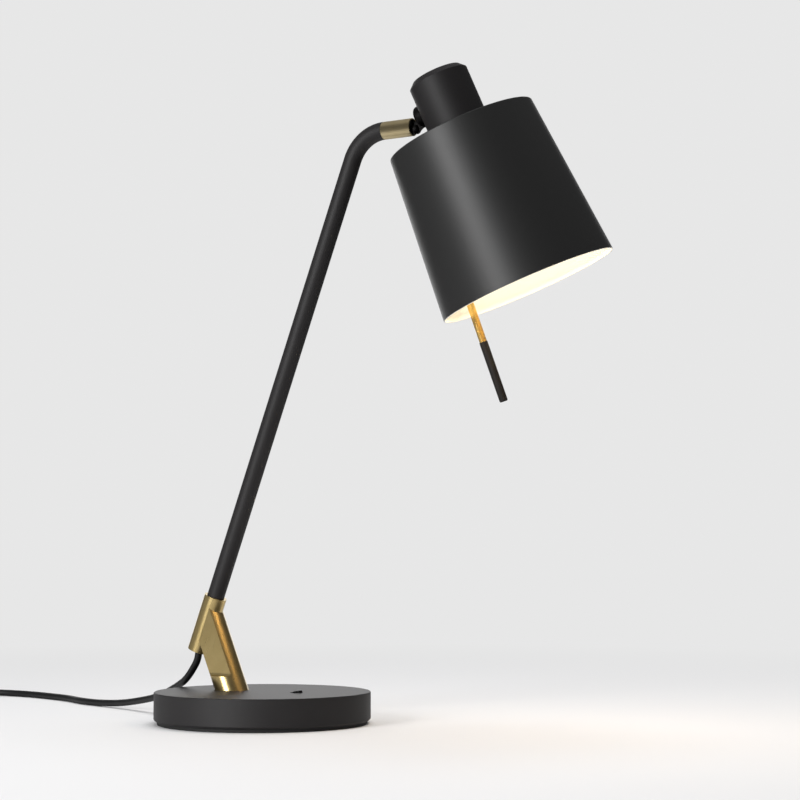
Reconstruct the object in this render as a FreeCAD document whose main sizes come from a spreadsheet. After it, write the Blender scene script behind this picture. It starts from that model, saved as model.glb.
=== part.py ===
import FreeCAD, Part
import Sketcher
import math
import os
import re

# Desk lamp: a round weighted base, a slanting bracket that grips a leaning arm
# tube, a swivelling and tilting head with a conical shade, and a grip rod that
# hangs inside the shade. Millimetres. The origin is the centre of the base's
# underside, +Z is up and the head reaches towards +X.

V = FreeCAD.Vector
doc = FreeCAD.newDocument("DeskLamp")

SIZES = {
    # Weighted base
    "base_radius": 80,
    "base_top": 23.6,
    "base_round": 0.8,
    "base_bevel": 1.5,
    "shell_wall": 2,
    "pad_inset": 2.5,
    "pad_height": 2.4,
    "weight_height": 10,
    "weight_gap": 0.3,
    "land_radius": 17,
    # Bracket: strut on the base, sleeve round the arm
    "foot_x": -28.1,
    "strut_radius": 12,
    "strut_lean": 22.6,
    "strut_flat": 8,
    "strut_ledge": 34,
    "ledge_round": 2.6,
    "sleeve_foot_x": -58.99,
    "sleeve_foot_z": 52.01,
    "sleeve_radius": 8.5,
    "sleeve_length": 43.55,
    "sleeve_bevel": 0.6,
    "lead_bore": 4.6,
    "wire_hole": 2.2,
    "wire_rise": 11.35,
    # Hollow fixing nipple under the bracket
    "nipple_radius": 4.95,
    "nipple_bore": 3,
    "nipple_reach": 11.5,
    "nut_bore_fit": 0.05,
    "nut_height": 4,
    "nut_flats": 14,
    "washer_radius": 9.5,
    "washer_height": 1,
    "recess_radius": 11.5,
    "recess_top": 8,
    # Arm tube
    "arm_lean": 20.77,
    "tube_radius": 6.5,
    "tube_wall": 1,
    "tube_seat": 30,
    "tube_fit": 0.05,
    "arm_rise": 431.94,
    "bend_radius": 29.15,
    "grub_radius": 2,
    "grub_fit": 0.05,
    "grub_rise": 35.55,
    "grub_sink": 0.3,
    # Cord bush in the sleeve's lower end
    "bush_recess": 4.55,
    "bush_length": 4.5,
    "bush_fit": 0.05,
    "cord_fit": 0.05,
    # Ferrule on the arm's end
    "ferrule_length": 24.5,
    "ferrule_bevel": 0.8,
    "ferrule_bore": 5.5,
    "ferrule_bore_depth": 14.5,
    "ferrule_web": 3,
    "ferrule_rear_bore": 4,
    "spigot_radius": 4.7,
    "spigot_length": 6,
    # Swivel knuckle in the ferrule
    "swing_fit": 0.06,
    "head_swing": 12.57,
    "head_tilt": 19.58,
    "barrel_length": 13.2,
    "stem_radius": 3.2,
    "stem_bore": 2.3,
    "stem_reach": 3,
    "knuckle_sink": 0.3,
    "knuckle_radius": 3.9,
    "slot_width": 3.4,
    "slot_floor": 3.8,
    "pin_reach": 1.95,
    "pin_drop": 1.9,
    "pin_length": 7,
    "pin_radius": 1.25,
    "pin_fit": 0.05,
    "clip_height": 1.2,
    "clip_radius": 3.8,
    # Hinge lug on the cap
    "lug_gap": 5.7,
    "lug_up": 6,
    "lug_radius": 8.2,
    "lug_round": 2.2,
    "lug_blend": 1.6,
    "lug_seat": 0.05,
    "eye_fit": 0.05,
    "web_reach": 9.2,
    "tongue_radius": 3.3,
    "tongue_width": 2.8,
    "stud_radius": 3.9,
    "stud_fit": 0.1,
    "lug_nut_seat": 19.25,
    "lug_nut_height": 2.8,
    "lug_nut_flats": 11.5,
    # Cap over the lampholder
    "head_reach": 32.65,
    "head_drop": 16.83,
    "cap_radius": 21.94,
    "cap_height": 44.6,
    "cap_wall": 1.6,
    "cap_bevel_width": 4.1,
    "cap_bevel_drop": 4,
    "cap_screw_radius": 1.5,
    "cap_screw_rise": 3.2,
    "cap_screw_head": 2.8,
    "cap_screw_crown": 1.4,
    # Lampholder, its ring and the bulb
    "holder_skirt": 18,
    "holder_upper": 15.5,
    "holder_shoulder": 12,
    "holder_top": 36,
    "holder_mouth": 14,
    "holder_flange": 20.2,
    "flange_height": 6,
    "holder_bore": 13.6,
    "holder_floor": 11.7,
    "ring_radius": 21.5,
    "ring_height": 4,
    "ring_fit": 0.05,
    "contact_radius": 3.5,
    "contact_height": 1.2,
    "bulb_cap_radius": 13.2,
    "bulb_cap_length": 22,
    "bulb_tip_radius": 4.5,
    "bulb_tip_height": 3,
    "bulb_radius": 30,
    "bulb_drop": 65,
    "bulb_neck_angle": 32,
    "bulb_wall": 1,
    "bulb_cap_wall": 0.6,
    # Shade
    "shade_top_radius": 54.73,
    "shade_bottom_radius": 64.95,
    "shade_height": 121.07,
    "shade_wall": 1,
    "shade_round": 0.9,
    "shade_hole_fit": 0.15,
    # Grip rod on its spacers
    "spacer_length": 11.83,
    "spacer_radius": 3.5,
    "spacer_seat": 0.25,
    "spacer_bore": 1.6,
    "rod_radius": 2.75,
    "rod_top": 24,
    "rod_length": 119.4,
    "rod_bevel": 0.5,
    "spigot_pin": 1.6,
    "spigot_pin_length": 20,
    "spigot_pin_fit": 0.05,
    "grip_radius": 3.05,
    "grip_length": 45.5,
    "grip_round": 1,
    "rod_screw_radius": 1.45,
    "rod_screw_head": 2.9,
    "rod_screw_crown": 1.5,
    "rod_screw_bite": 1.4,
    "upper_spacer": 48,
    "lower_spacer": 98,
    # Rocker switch in the base
    "rocker_x": 30,
    "rocker_length": 7.8,
    "rocker_width": 4.4,
    "rocker_low": 0.2,
    "rocker_high": 1.9,
    "rocker_depth": 2.6,
    "rocker_pivot": 1.6,
    "rocker_gap": 0.5,
    "rocker_pin": 0.8,
    "rocker_pin_fit": 0.04,
    "switch_wall": 2,
    "switch_depth": 12,
    "switch_well": 4.5,
    "switch_clear": 1,
    # Cord, its coil and tie
    "cord_radius": 2.7,
    "cord_lead": 4.2,
    "coil_lead": 16,
    "tail_lead": 9,
    "coil_x": -404,
    "coil_y": 59,
    "coil_outer": 39,
    "coil_pitch": 6.2,
    "coil_lift": 1,
    "coil_rise": 6,
    "tie_band": 0.8,
    "tie_width": 8,
    "tie_slack": 0.3,
    # Two-pin mains plug
    "plug_width": 35.3,
    "plug_waist": 20,
    "plug_thick": 13.7,
    "plug_front": 14,
    "plug_length": 34,
    "plug_round": 2.5,
    "plug_tail_length": 22,
    "plug_tail_radius": 4.4,
    "plug_tail_tip": 3.2,
    "plug_pin_radius": 2,
    "plug_pin_length": 19,
    "plug_pin_spacing": 18.6,
    # Cuts run past the faces they open by this much
    "overrun": 5,
}

# The cord's visible stretch between its straight leads out of the bush and into
# the coil: down over the base's rim and along the table. A route, not sizes.
CORD_ROUTE = [
    (-60.1, 0.4, 45.0),
    (-65.6, 1.6, 37.7),
    (-74.4, 5.2, 29.8),
    (-86.2, 11.2, 24.4),
    (-103.0, 19.8, 18.4),
    (-122.4, 30.2, 12.7),
    (-149.0, 42.2, 8.1),
    (-177.0, 53.6, 4.3),
    (-205.5, 61.6, 2.8),
    (-232.0, 70.4, 2.8),
    (-259.0, 87.2, 2.8),
    (-289.0, 98.0, 2.8),
    (-317.4, 106.8, 2.8),
    (-345.6, 109.2, 2.8),
    (-366.8, 101.8, 3.3),
]
# The last stretch, between the coil's outer turn and the plug.
TAIL_ROUTE = [
    (-443.0, 37.0, 8.5),
    (-440.6, 23.0, 7.1),
    (-438.0, 10.5, 6.85),
    (-436.4, 0.0, 6.85),
]
COIL_TURNS = 6.25
COIL_START = 90
SAMPLE_ARC_SHARE = 0.45

sheet = doc.addObject("Spreadsheet::Sheet", "Sizes")
for row, (word, value) in enumerate(SIZES.items(), 1):
    sheet.set(f"A{row}", word)
    sheet.set(f"B{row}", str(value))
    sheet.setAlias(f"B{row}", word)
doc.recompute()

sub_parts = []


def size(word):
    """One driving dimension, read from the sheet."""
    return float(sheet.get(word))


def formula(text):
    """The text with every driving dimension's word pointed at the sheet."""
    return re.sub(r"[a-z_]+[a-z0-9_]*", lambda found: name_in_sheet(found.group(0)), text)


def name_in_sheet(word):
    return "Sizes." + word if word in SIZES else word


def worked(text):
    """The number that a formula gives now, to draw a sketch near its place."""
    value = sheet.evalExpression(formula(text))
    return float(getattr(value, "Value", value))


# Places worked out from the sizes, as texts for the formulas
SHELL_UNDER = "(base_top - shell_wall)"
WALL_ANGLE = "atan((shade_bottom_radius - shade_top_radius) / shade_height)"
SEAT_RISE = "(sleeve_length - tube_seat)"
ARM_RUN = "((arm_rise - sleeve_foot_z - bend_radius * (1 - sin(arm_lean))) / cos(arm_lean))"
ARM_STRAIGHT = f"({ARM_RUN} - {SEAT_RISE})"
ARM_TIP_X = f"(sleeve_foot_x + {ARM_RUN} * sin(arm_lean) + bend_radius * cos(arm_lean))"
ROD_X = f"(shade_top_radius - shade_wall - (spacer_length + rod_radius) / cos({WALL_ANGLE}))"
LUG_RISE = "(lug_up + head_drop)"

# Frames that carry the sub-parts
SLEEVE = "placement(vector(sleeve_foot_x; 0; sleeve_foot_z); rotationy(arm_lean))"
FERRULE = f"placement(vector({ARM_TIP_X}; 0; arm_rise); rotationy(90))"
SWIVEL = f"placement(vector({ARM_TIP_X} + ferrule_length; 0; arm_rise); rotationx(head_swing))"
TILT = f"{SWIVEL} * placement(vector(pin_reach; 0; -pin_drop); rotationy(-head_tilt))"
HEAD = f"{TILT} * placement(vector(head_reach; 0; -head_drop); rotationy(0))"
ROD = f"{HEAD} * placement(vector(-{ROD_X}; 0; 0); rotationy({WALL_ANGLE}))"


def new_body(name, place=None):
    """A sub-part's body, placed by a formula."""
    body = doc.addObject("PartDesign::Body", name)
    body.Label = name
    if place:
        body.setExpression("Placement", formula(place))
    sub_parts.append(body)
    return body


def new_sketch(body, name, plane):
    """An empty sketch on one of the body's own origin planes."""
    sketch = body.newObject("Sketcher::SketchObject", name)
    support = [item for item in body.Origin.OriginFeatures if item.Role == plane + "_Plane"]
    sketch.AttachmentSupport = [(support[0], "")]
    sketch.MapMode = "FlatFace"
    return sketch


def hold(sketch, kind, geometry, end, text):
    """Hold a point's distance from the sketch's origin by a formula."""
    index = sketch.addConstraint(Sketcher.Constraint(kind, -1, 1, geometry, end, worked(text)))
    sketch.setExpression(f"Constraints[{index}]", formula(text))


def closed_lines(sketch, corners):
    """Closed outline of straight sides; each corner is held by its two distances."""
    first = sketch.GeometryCount
    count = len(corners)
    ring = [V(worked(across), worked(up), 0) for across, up in corners]
    for k in range(count):
        sketch.addGeometry(Part.LineSegment(ring[k], ring[(k + 1) % count]), False)
    for k in range(count):
        sketch.addConstraint(Sketcher.Constraint("Coincident", first + k, 2, first + (k + 1) % count, 1))
    for k, (across, up) in enumerate(corners):
        hold(sketch, "DistanceX", first + k, 1, across)
        hold(sketch, "DistanceY", first + k, 1, up)


def circles(sketch, radii, across="0", up="0"):
    """Circles about one centre."""
    for text in radii:
        centre = V(worked(across), worked(up), 0)
        index = sketch.addGeometry(Part.Circle(centre, V(0, 0, 1), worked(text)), False)
        hold(sketch, "DistanceX", index, 3, across)
        hold(sketch, "DistanceY", index, 3, up)
        radius = sketch.addConstraint(Sketcher.Constraint("Radius", index, worked(text)))
        sketch.setExpression(f"Constraints[{radius}]", formula(text))


def turn(body, name, corners):
    """Material turned about the body's own Z axis from corners of (radius, height)."""
    sketch = new_sketch(body, name + "_outline", "XZ")
    closed_lines(sketch, corners)
    feature = body.newObject("PartDesign::Revolution", name)
    feature.Profile = sketch
    feature.ReferenceAxis = (sketch, ["V_Axis"])
    feature.Angle = 360
    return feature


def turned(name, corners, place=None):
    """A whole sub-part turned from one outline."""
    body = new_body(name, place)
    turn(body, name + "_turned", corners)
    return body


def extrude(body, kind, name, sketch, length, side="One side", reverse=False):
    """A pad or a pocket of a sketch; an empty length goes through everything."""
    feature = body.newObject("PartDesign::" + kind, name)
    feature.Profile = sketch
    feature.SideType = side
    feature.Reversed = reverse
    if length:
        feature.setExpression("Length", formula(length))
    else:
        feature.Type = "ThroughAll"
    return feature


def cylinder(body, kind, name, radius, height, place):
    """An added or a cut cylinder with its own placement in the body."""
    feature = body.newObject(f"PartDesign::{kind}Cylinder", name)
    feature.setExpression("Radius", formula(radius))
    feature.setExpression("Height", formula(height))
    feature.setExpression("Placement", formula(place))
    return feature


def ease(body, kind, name, pick, text):
    """Round or bevel the edges of the body's last feature that pick accepts."""
    doc.recompute()
    base = body.Tip
    names = [f"Edge{k}" for k, edge in enumerate(base.Shape.Edges, 1) if pick(edge)]
    feature = body.newObject("PartDesign::" + kind, name)
    feature.Base = (base, names)
    feature.setExpression("Radius" if kind == "Fillet" else "Size", formula(text))
    return feature


def circle_at(radius, height):
    """Picks full circles of one radius whose centre has one height."""
    def pick(edge):
        curve = edge.Curve
        if not isinstance(curve, Part.Circle):
            return False
        return abs(curve.Radius - radius) < 1e-4 and abs(curve.Center.z - height) < 1e-4
    return pick


def hexagon(flats):
    """Corners of a hexagon by its width across flats."""
    return [(f"{flats} / 2 / cos(30) * cos({angle})", f"{flats} / 2 / cos(30) * sin({angle})")
            for angle in range(0, 360, 60)]


def hex_nut(name, flats, bore, height, place):
    """A hexagonal nut with a plain bore."""
    body = new_body(name, place)
    sketch = new_sketch(body, name + "_outline", "XY")
    closed_lines(sketch, hexagon(flats))
    circles(sketch, [bore])
    extrude(body, "Pad", name + "_pad", sketch, height)
    return body


# Weighted base: a spun cover over an iron weight, on a soft pad
base_shell = turned("base_shell", [
    ("0", "base_top"),
    ("base_radius", "base_top"),
    ("base_radius", "pad_height + base_bevel"),
    ("base_radius - base_bevel", "pad_height"),
    ("base_radius - shell_wall", "pad_height"),
    ("base_radius - shell_wall", SHELL_UNDER),
    ("0", SHELL_UNDER),
])
ease(base_shell, "Fillet", "shell_edge", circle_at(size("base_radius"), size("base_top")), "base_round")
holes = new_sketch(base_shell, "shell_holes", "XY")
circles(holes, ["nipple_radius + nut_bore_fit"], "foot_x", "0")
ROCKER_HALF = "(rocker_length / 2 + rocker_gap)"
ROCKER_SIDE = "(rocker_width / 2 + rocker_gap)"
closed_lines(holes, [
    (f"rocker_x - {ROCKER_HALF}", f"-{ROCKER_SIDE}"),
    (f"rocker_x + {ROCKER_HALF}", f"-{ROCKER_SIDE}"),
    (f"rocker_x + {ROCKER_HALF}", ROCKER_SIDE),
    (f"rocker_x - {ROCKER_HALF}", ROCKER_SIDE),
])
extrude(base_shell, "Pocket", "shell_openings", holes, "base_top + overrun", reverse=True)

base_weight = turned("base_weight", [
    ("0", "pad_height"),
    ("base_radius - shell_wall - weight_gap", "pad_height"),
    ("base_radius - shell_wall - weight_gap", "pad_height + weight_height"),
    ("0", "pad_height + weight_height"),
])
cylinder(base_weight, "Additive", "weight_land", "land_radius", f"{SHELL_UNDER} - pad_height",
         "placement(vector(foot_x; 0; pad_height); rotationy(0))")
under = new_sketch(base_weight, "weight_under", "XY")
circles(under, ["recess_radius"], "foot_x", "0")
extrude(base_weight, "Pocket", "weight_recess", under, "recess_top", reverse=True)
SWITCH_HALF = "(rocker_length / 2 + rocker_gap + switch_wall)"
SWITCH_SIDE = "(rocker_width / 2 + rocker_gap + switch_wall)"
through = new_sketch(base_weight, "weight_holes", "XY")
circles(through, ["nipple_radius + nut_bore_fit"], "foot_x", "0")
closed_lines(through, [
    (f"rocker_x - {SWITCH_HALF} - switch_clear", f"-{SWITCH_SIDE} - switch_clear"),
    (f"rocker_x + {SWITCH_HALF} + switch_clear", f"-{SWITCH_SIDE} - switch_clear"),
    (f"rocker_x + {SWITCH_HALF} + switch_clear", f"{SWITCH_SIDE} + switch_clear"),
    (f"rocker_x - {SWITCH_HALF} - switch_clear", f"{SWITCH_SIDE} + switch_clear"),
])
extrude(base_weight, "Pocket", "weight_openings", through, "base_top + overrun", reverse=True)
channel = new_sketch(base_weight, "wire_channel", "XY")
closed_lines(channel, [
    ("foot_x", "-stud_radius"),
    ("rocker_x", "-stud_radius"),
    ("rocker_x", "stud_radius"),
    ("foot_x", "stud_radius"),
])
extrude(base_weight, "Pocket", "weight_channel", channel, "recess_top", reverse=True)

foot_pad = doc.addObject("Part::Cylinder", "foot_pad")
foot_pad.Label = "foot_pad"
foot_pad.setExpression("Radius", formula("base_radius - pad_inset"))
foot_pad.setExpression("Height", formula("pad_height"))
sub_parts.append(foot_pad)

# Bracket: a round strut, milled flat on both sides, that rises into the sleeve
STRUT_TO_AXIS = ("((foot_x - sleeve_foot_x) * cos(arm_lean) + (sleeve_foot_z - base_top) * sin(arm_lean))"
                 " / sin(arm_lean + strut_lean)")
STRUT_REACH = f"({STRUT_TO_AXIS} + strut_radius / tan(arm_lean + strut_lean))"
STRUT_SINK = "(strut_radius * tan(strut_lean) + overrun)"
bracket = new_body("bracket")
cylinder(bracket, "Additive", "strut", "strut_radius", f"{STRUT_REACH} + {STRUT_SINK} + overrun",
         "placement(vector(foot_x; 0; base_top); rotationy(-strut_lean))"
         f" * placement(vector(0; 0; -{STRUT_SINK}); rotationy(0))")
SIDE_OUT = "(strut_radius + overrun)"
STRUT_OVER = "(sleeve_foot_z + sleeve_length + strut_radius + overrun)"
for side in ("", "-"):
    flat = new_sketch(bracket, "strut_flat_" + ("far" if side else "near"), "YZ")
    closed_lines(flat, [
        (f"{side}strut_flat", "strut_ledge + ledge_round"),
        (f"{side}(strut_flat + ledge_round)", "strut_ledge + ledge_round"),
        (f"{side}(strut_flat + ledge_round)", "strut_ledge"),
        (f"{side}({SIDE_OUT})", "strut_ledge"),
        (f"{side}({SIDE_OUT})", STRUT_OVER),
        (f"{side}strut_flat", STRUT_OVER),
    ])
    extrude(bracket, "Pocket", flat.Name + "_cut", flat, "", side="Symmetric")
    cylinder(bracket, "Subtractive", flat.Name + "_round", "ledge_round", "strut_radius * 4",
             f"placement(vector(foot_x - strut_radius * 2.5; {side}(strut_flat + ledge_round); "
             "strut_ledge + ledge_round); rotationy(90))")
under_foot = new_sketch(bracket, "strut_foot", "XZ")
closed_lines(under_foot, [
    ("foot_x - strut_radius - strut_radius - overrun", "base_top"),
    ("foot_x - strut_radius - strut_radius - overrun", "-overrun"),
    ("foot_x + strut_radius + strut_radius + overrun", "-overrun"),
    ("foot_x + strut_radius + strut_radius + overrun", "base_top"),
])
extrude(bracket, "Pocket", "strut_foot_cut", under_foot, "", side="Symmetric")
beyond = new_sketch(bracket, "strut_beyond_sleeve", "XZ")
AXIS_RUN = "(sleeve_length + strut_radius + overrun)"
closed_lines(beyond, [
    ("sleeve_foot_x - sleeve_radius * sin(arm_lean)", "sleeve_foot_z - sleeve_radius * cos(arm_lean)"),
    (f"sleeve_foot_x + {AXIS_RUN} * sin(arm_lean)", f"sleeve_foot_z + {AXIS_RUN} * cos(arm_lean)"),
    (f"sleeve_foot_x - {AXIS_RUN}", f"sleeve_foot_z + {AXIS_RUN}"),
    (f"sleeve_foot_x - {AXIS_RUN}", "sleeve_foot_z - sleeve_radius * cos(arm_lean)"),
])
extrude(bracket, "Pocket", "strut_beyond_cut", beyond, "", side="Symmetric")
cylinder(bracket, "Additive", "sleeve", "sleeve_radius", "sleeve_length", SLEEVE)
cylinder(bracket, "Subtractive", "tube_bore", "tube_radius + tube_fit", "tube_seat + overrun",
         f"{SLEEVE} * placement(vector(0; 0; {SEAT_RISE}); rotationy(0))")
cylinder(bracket, "Subtractive", "cord_bore", "lead_bore", f"{SEAT_RISE} + overrun + overrun",
         f"{SLEEVE} * placement(vector(0; 0; -overrun); rotationy(0))")
cylinder(bracket, "Subtractive", "nipple_hole", "nipple_radius + nut_bore_fit", "nipple_reach + overrun",
         "placement(vector(foot_x; 0; base_top - overrun); rotationy(0))")
WIRE_X = "(sleeve_foot_x + wire_rise * sin(arm_lean) - foot_x)"
WIRE_Z = "(sleeve_foot_z + wire_rise * cos(arm_lean) - base_top)"
cylinder(bracket, "Subtractive", "wire_passage", "wire_hole", f"sqrt({WIRE_X} ^ 2 + {WIRE_Z} ^ 2)",
         f"placement(vector(foot_x; 0; base_top); rotationy(atan({WIRE_X} / {WIRE_Z})))")
cylinder(bracket, "Subtractive", "grub_hole", "grub_radius + grub_fit", "sleeve_radius + overrun",
         f"{SLEEVE} * placement(vector(0; 0; grub_rise); rotationy(-90))")


def sleeve_end(edge):
    """The sleeve's outer and inner circles at its two open ends."""
    if not isinstance(edge.Curve, Part.Circle):
        return False
    lean = math.radians(size("arm_lean"))
    foot = V(size("sleeve_foot_x"), 0, size("sleeve_foot_z"))
    rise = (edge.Curve.Center - foot).dot(V(math.sin(lean), 0, math.cos(lean)))
    on_end = min(abs(rise), abs(rise - size("sleeve_length"))) < 1e-3
    return on_end and edge.Curve.Radius > size("lead_bore") + 1e-3


ease(bracket, "Chamfer", "sleeve_ends", sleeve_end, "sleeve_bevel")

turned("foot_nipple", [
    ("nipple_bore", "recess_top - washer_height - nut_height"),
    ("nipple_radius", "recess_top - washer_height - nut_height"),
    ("nipple_radius", "base_top + nipple_reach"),
    ("nipple_bore", "base_top + nipple_reach"),
], "placement(vector(foot_x; 0; 0); rotationy(0))")
turned("foot_washer", [
    ("nipple_radius + nut_bore_fit", "0"),
    ("washer_radius", "0"),
    ("washer_radius", "washer_height"),
    ("nipple_radius + nut_bore_fit", "washer_height"),
], "placement(vector(foot_x; 0; recess_top - washer_height); rotationy(0))")
hex_nut("foot_nut", "nut_flats", "nipple_radius + nut_bore_fit", "nut_height",
        "placement(vector(foot_x; 0; recess_top - washer_height - nut_height); rotationy(0))")
turned("sleeve_screw", [
    ("0", "tube_radius + nut_bore_fit"),
    ("grub_radius", "tube_radius + nut_bore_fit"),
    ("grub_radius", "sleeve_radius - grub_sink"),
    ("0", "sleeve_radius - grub_sink"),
], f"{SLEEVE} * placement(vector(0; 0; grub_rise); rotationy(-90))")
turned("cord_bush", [
    ("cord_radius + cord_fit", "bush_recess"),
    ("lead_bore - bush_fit", "bush_recess"),
    ("lead_bore - bush_fit", "bush_recess + bush_length"),
    ("cord_radius + cord_fit", "bush_recess + bush_length"),
], SLEEVE)


def bent_arm(name, radii, start, place):
    """A pipe along the arm: a straight run from start, then the bend to level."""
    body = new_body(name, place)
    spine = new_sketch(body, name + "_spine", "XZ")
    run = worked(f"{ARM_STRAIGHT} - ({start})")
    bend = size("bend_radius")
    lean = math.radians(size("arm_lean"))
    spine.addGeometry(Part.LineSegment(V(0, 0, 0), V(0, run, 0)), False)
    middle = (math.pi + math.pi / 2 + lean) / 2
    spine.addGeometry(Part.Arc(
        V(0, run, 0),
        V(bend + bend * math.cos(middle), run + bend * math.sin(middle), 0),
        V(bend - bend * math.sin(lean), run + bend * math.cos(lean), 0)), False)
    spine.addConstraint(Sketcher.Constraint("Coincident", 0, 1, -1, 1))
    spine.addConstraint(Sketcher.Constraint("Vertical", 0))
    spine.addConstraint(Sketcher.Constraint("Tangent", 0, 2, 1, 2))
    length = spine.addConstraint(Sketcher.Constraint("DistanceY", 0, 1, 0, 2, run))
    spine.setExpression(f"Constraints[{length}]", formula(f"{ARM_STRAIGHT} - ({start})"))
    radius = spine.addConstraint(Sketcher.Constraint("Radius", 1, bend))
    spine.setExpression(f"Constraints[{radius}]", formula("bend_radius"))
    tip = spine.addConstraint(Sketcher.Constraint("DistanceX", -1, 1, 1, 1, bend * (1 - math.sin(lean))))
    spine.setExpression(f"Constraints[{tip}]", formula("bend_radius * (1 - sin(arm_lean))"))
    section = new_sketch(body, name + "_section", "XY")
    circles(section, radii)
    pipe = body.newObject("PartDesign::AdditivePipe", name + "_pipe")
    pipe.Profile = section
    pipe.Spine = (spine, ["Edge1", "Edge2"])
    return body


bent_arm("arm_tube", ["tube_radius", "tube_radius - tube_wall"], "0",
         f"{SLEEVE} * placement(vector(0; 0; {SEAT_RISE}); rotationy(0))")
bent_arm("arm_lead", ["cord_radius"], f"bush_recess - {SEAT_RISE}",
         f"{SLEEVE} * placement(vector(0; 0; bush_recess); rotationy(0))")

# Ferrule: a turned brass end with a spigot into the tube and a bore for the swivel
turned("ferrule", [
    ("ferrule_rear_bore", "-spigot_length"),
    ("spigot_radius", "-spigot_length"),
    ("spigot_radius", "0"),
    ("tube_radius", "0"),
    ("tube_radius", "ferrule_length - ferrule_bevel"),
    ("tube_radius - ferrule_bevel", "ferrule_length"),
    ("ferrule_bore", "ferrule_length"),
    ("ferrule_bore", "ferrule_length - ferrule_bore_depth"),
    ("stem_radius + swing_fit", "ferrule_length - ferrule_bore_depth"),
    ("stem_radius + swing_fit", "ferrule_length - ferrule_bore_depth - ferrule_web"),
    ("ferrule_rear_bore", "ferrule_length - ferrule_bore_depth - ferrule_web"),
], FERRULE)

# Swivel knuckle: a barrel that turns in the ferrule, with a slotted ball for the tilt pin
knuckle = new_body("swivel_knuckle", SWIVEL)
turning = new_sketch(knuckle, "knuckle_outline", "XZ")
closed_lines(turning, [
    ("-knuckle_sink", "stem_bore"),
    ("-knuckle_sink", "ferrule_bore - swing_fit"),
    ("-knuckle_sink - barrel_length", "ferrule_bore - swing_fit"),
    ("-knuckle_sink - barrel_length", "stem_radius"),
    ("-ferrule_bore_depth - ferrule_web - stem_reach", "stem_radius"),
    ("-ferrule_bore_depth - ferrule_web - stem_reach", "stem_bore"),
])
barrel = knuckle.newObject("PartDesign::Revolution", "knuckle_barrel")
barrel.Profile = turning
barrel.ReferenceAxis = (turning, ["H_Axis"])
barrel.Angle = 360
knuckle_ball = knuckle.newObject("PartDesign::AdditiveSphere", "knuckle_ball")
knuckle_ball.setExpression("Radius", formula("knuckle_radius"))
knuckle_ball.setExpression("Placement", formula("placement(vector(pin_reach; 0; -pin_drop); rotationy(0))"))
slot = new_sketch(knuckle, "knuckle_slot", "XZ")
closed_lines(slot, [
    ("pin_reach - slot_floor", "-ferrule_bore - overrun"),
    ("pin_reach + knuckle_radius + overrun", "-ferrule_bore - overrun"),
    ("pin_reach + knuckle_radius + overrun", "ferrule_bore + overrun"),
    ("pin_reach - slot_floor", "ferrule_bore + overrun"),
])
extrude(knuckle, "Pocket", "knuckle_slot_cut", slot, "slot_width", side="Symmetric")
cylinder(knuckle, "Subtractive", "knuckle_pin_hole", "pin_radius + pin_fit / 2",
         "knuckle_radius * 2 + overrun",
         "placement(vector(pin_reach; knuckle_radius + overrun / 2; -pin_drop); rotationx(90))")
turned("swivel_clip", [
    ("stem_radius + nut_bore_fit", "0"),
    ("clip_radius", "0"),
    ("clip_radius", "clip_height"),
    ("stem_radius + nut_bore_fit", "clip_height"),
], f"{SWIVEL} * placement(vector(-ferrule_bore_depth - ferrule_web - nut_bore_fit * 2; 0; 0); rotationy(-90))")
turned("tilt_pin", [
    ("0", "-pin_length / 2"),
    ("pin_radius", "-pin_length / 2"),
    ("pin_radius", "pin_length / 2"),
    ("0", "pin_length / 2"),
], f"{SWIVEL} * placement(vector(pin_reach; 0; -pin_drop); rotationx(90))")

# Hinge lug: a round domed collar between the fork and the cap
STUD_END = "(head_reach - lug_nut_seat + lug_nut_height)"
lug = new_body("hinge_lug", TILT)
cylinder(lug, "Additive", "lug_boss", "lug_radius", "head_reach - lug_gap - cap_radius / 2",
         "placement(vector(lug_gap; 0; lug_up); rotationy(90))")
ease(lug, "Fillet", "lug_dome",
     lambda edge: isinstance(edge.Curve, Part.Circle) and abs(edge.Curve.Center.x - size("lug_gap")) < 1e-3,
     "lug_round")
cylinder(lug, "Subtractive", "lug_cap_seat", "cap_radius + lug_seat", "lug_radius * 4",
         "placement(vector(head_reach; 0; lug_up - lug_radius * 2); rotationy(0))")
cylinder(lug, "Subtractive", "lug_bore", "stud_radius + eye_fit", f"{STUD_END} + overrun",
         "placement(vector(0; 0; lug_up); rotationy(90))")
web_slot = new_sketch(lug, "lug_web_slot", "XZ")
closed_lines(web_slot, [
    ("0", "-tongue_radius - eye_fit"),
    ("web_reach + eye_fit", "lug_up - lug_radius + lug_blend - eye_fit"),
    ("web_reach + eye_fit", "lug_up + lug_blend + eye_fit"),
    ("0", "tongue_radius + eye_fit"),
])
extrude(lug, "Pocket", "lug_web_slot_cut", web_slot, "tongue_width + eye_fit * 2", side="Symmetric")

# Hinge eye: a flat eye that tilts in the fork, on a hollow stud through collar and cap
eye = new_body("hinge_eye", TILT)
cylinder(eye, "Additive", "tongue_eye", "tongue_radius", "tongue_width",
         "placement(vector(0; tongue_width / 2; 0); rotationx(90))")
web = new_sketch(eye, "tongue_web", "XZ")
closed_lines(web, [
    ("0", "-tongue_radius"),
    ("web_reach", "lug_up - lug_radius + lug_blend"),
    ("web_reach", "lug_up + lug_blend"),
    ("0", "tongue_radius"),
])
extrude(eye, "Pad", "tongue_web_pad", web, "tongue_width", side="Symmetric")
cylinder(eye, "Additive", "eye_stud", "stud_radius", f"{STUD_END} - lug_gap - lug_round",
         "placement(vector(lug_gap + lug_round; 0; lug_up); rotationy(90))")
cylinder(eye, "Subtractive", "eye_wire_bore", "stem_bore", f"{STUD_END} + overrun",
         "placement(vector(lug_gap - lug_round; 0; lug_up); rotationy(90))")
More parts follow.
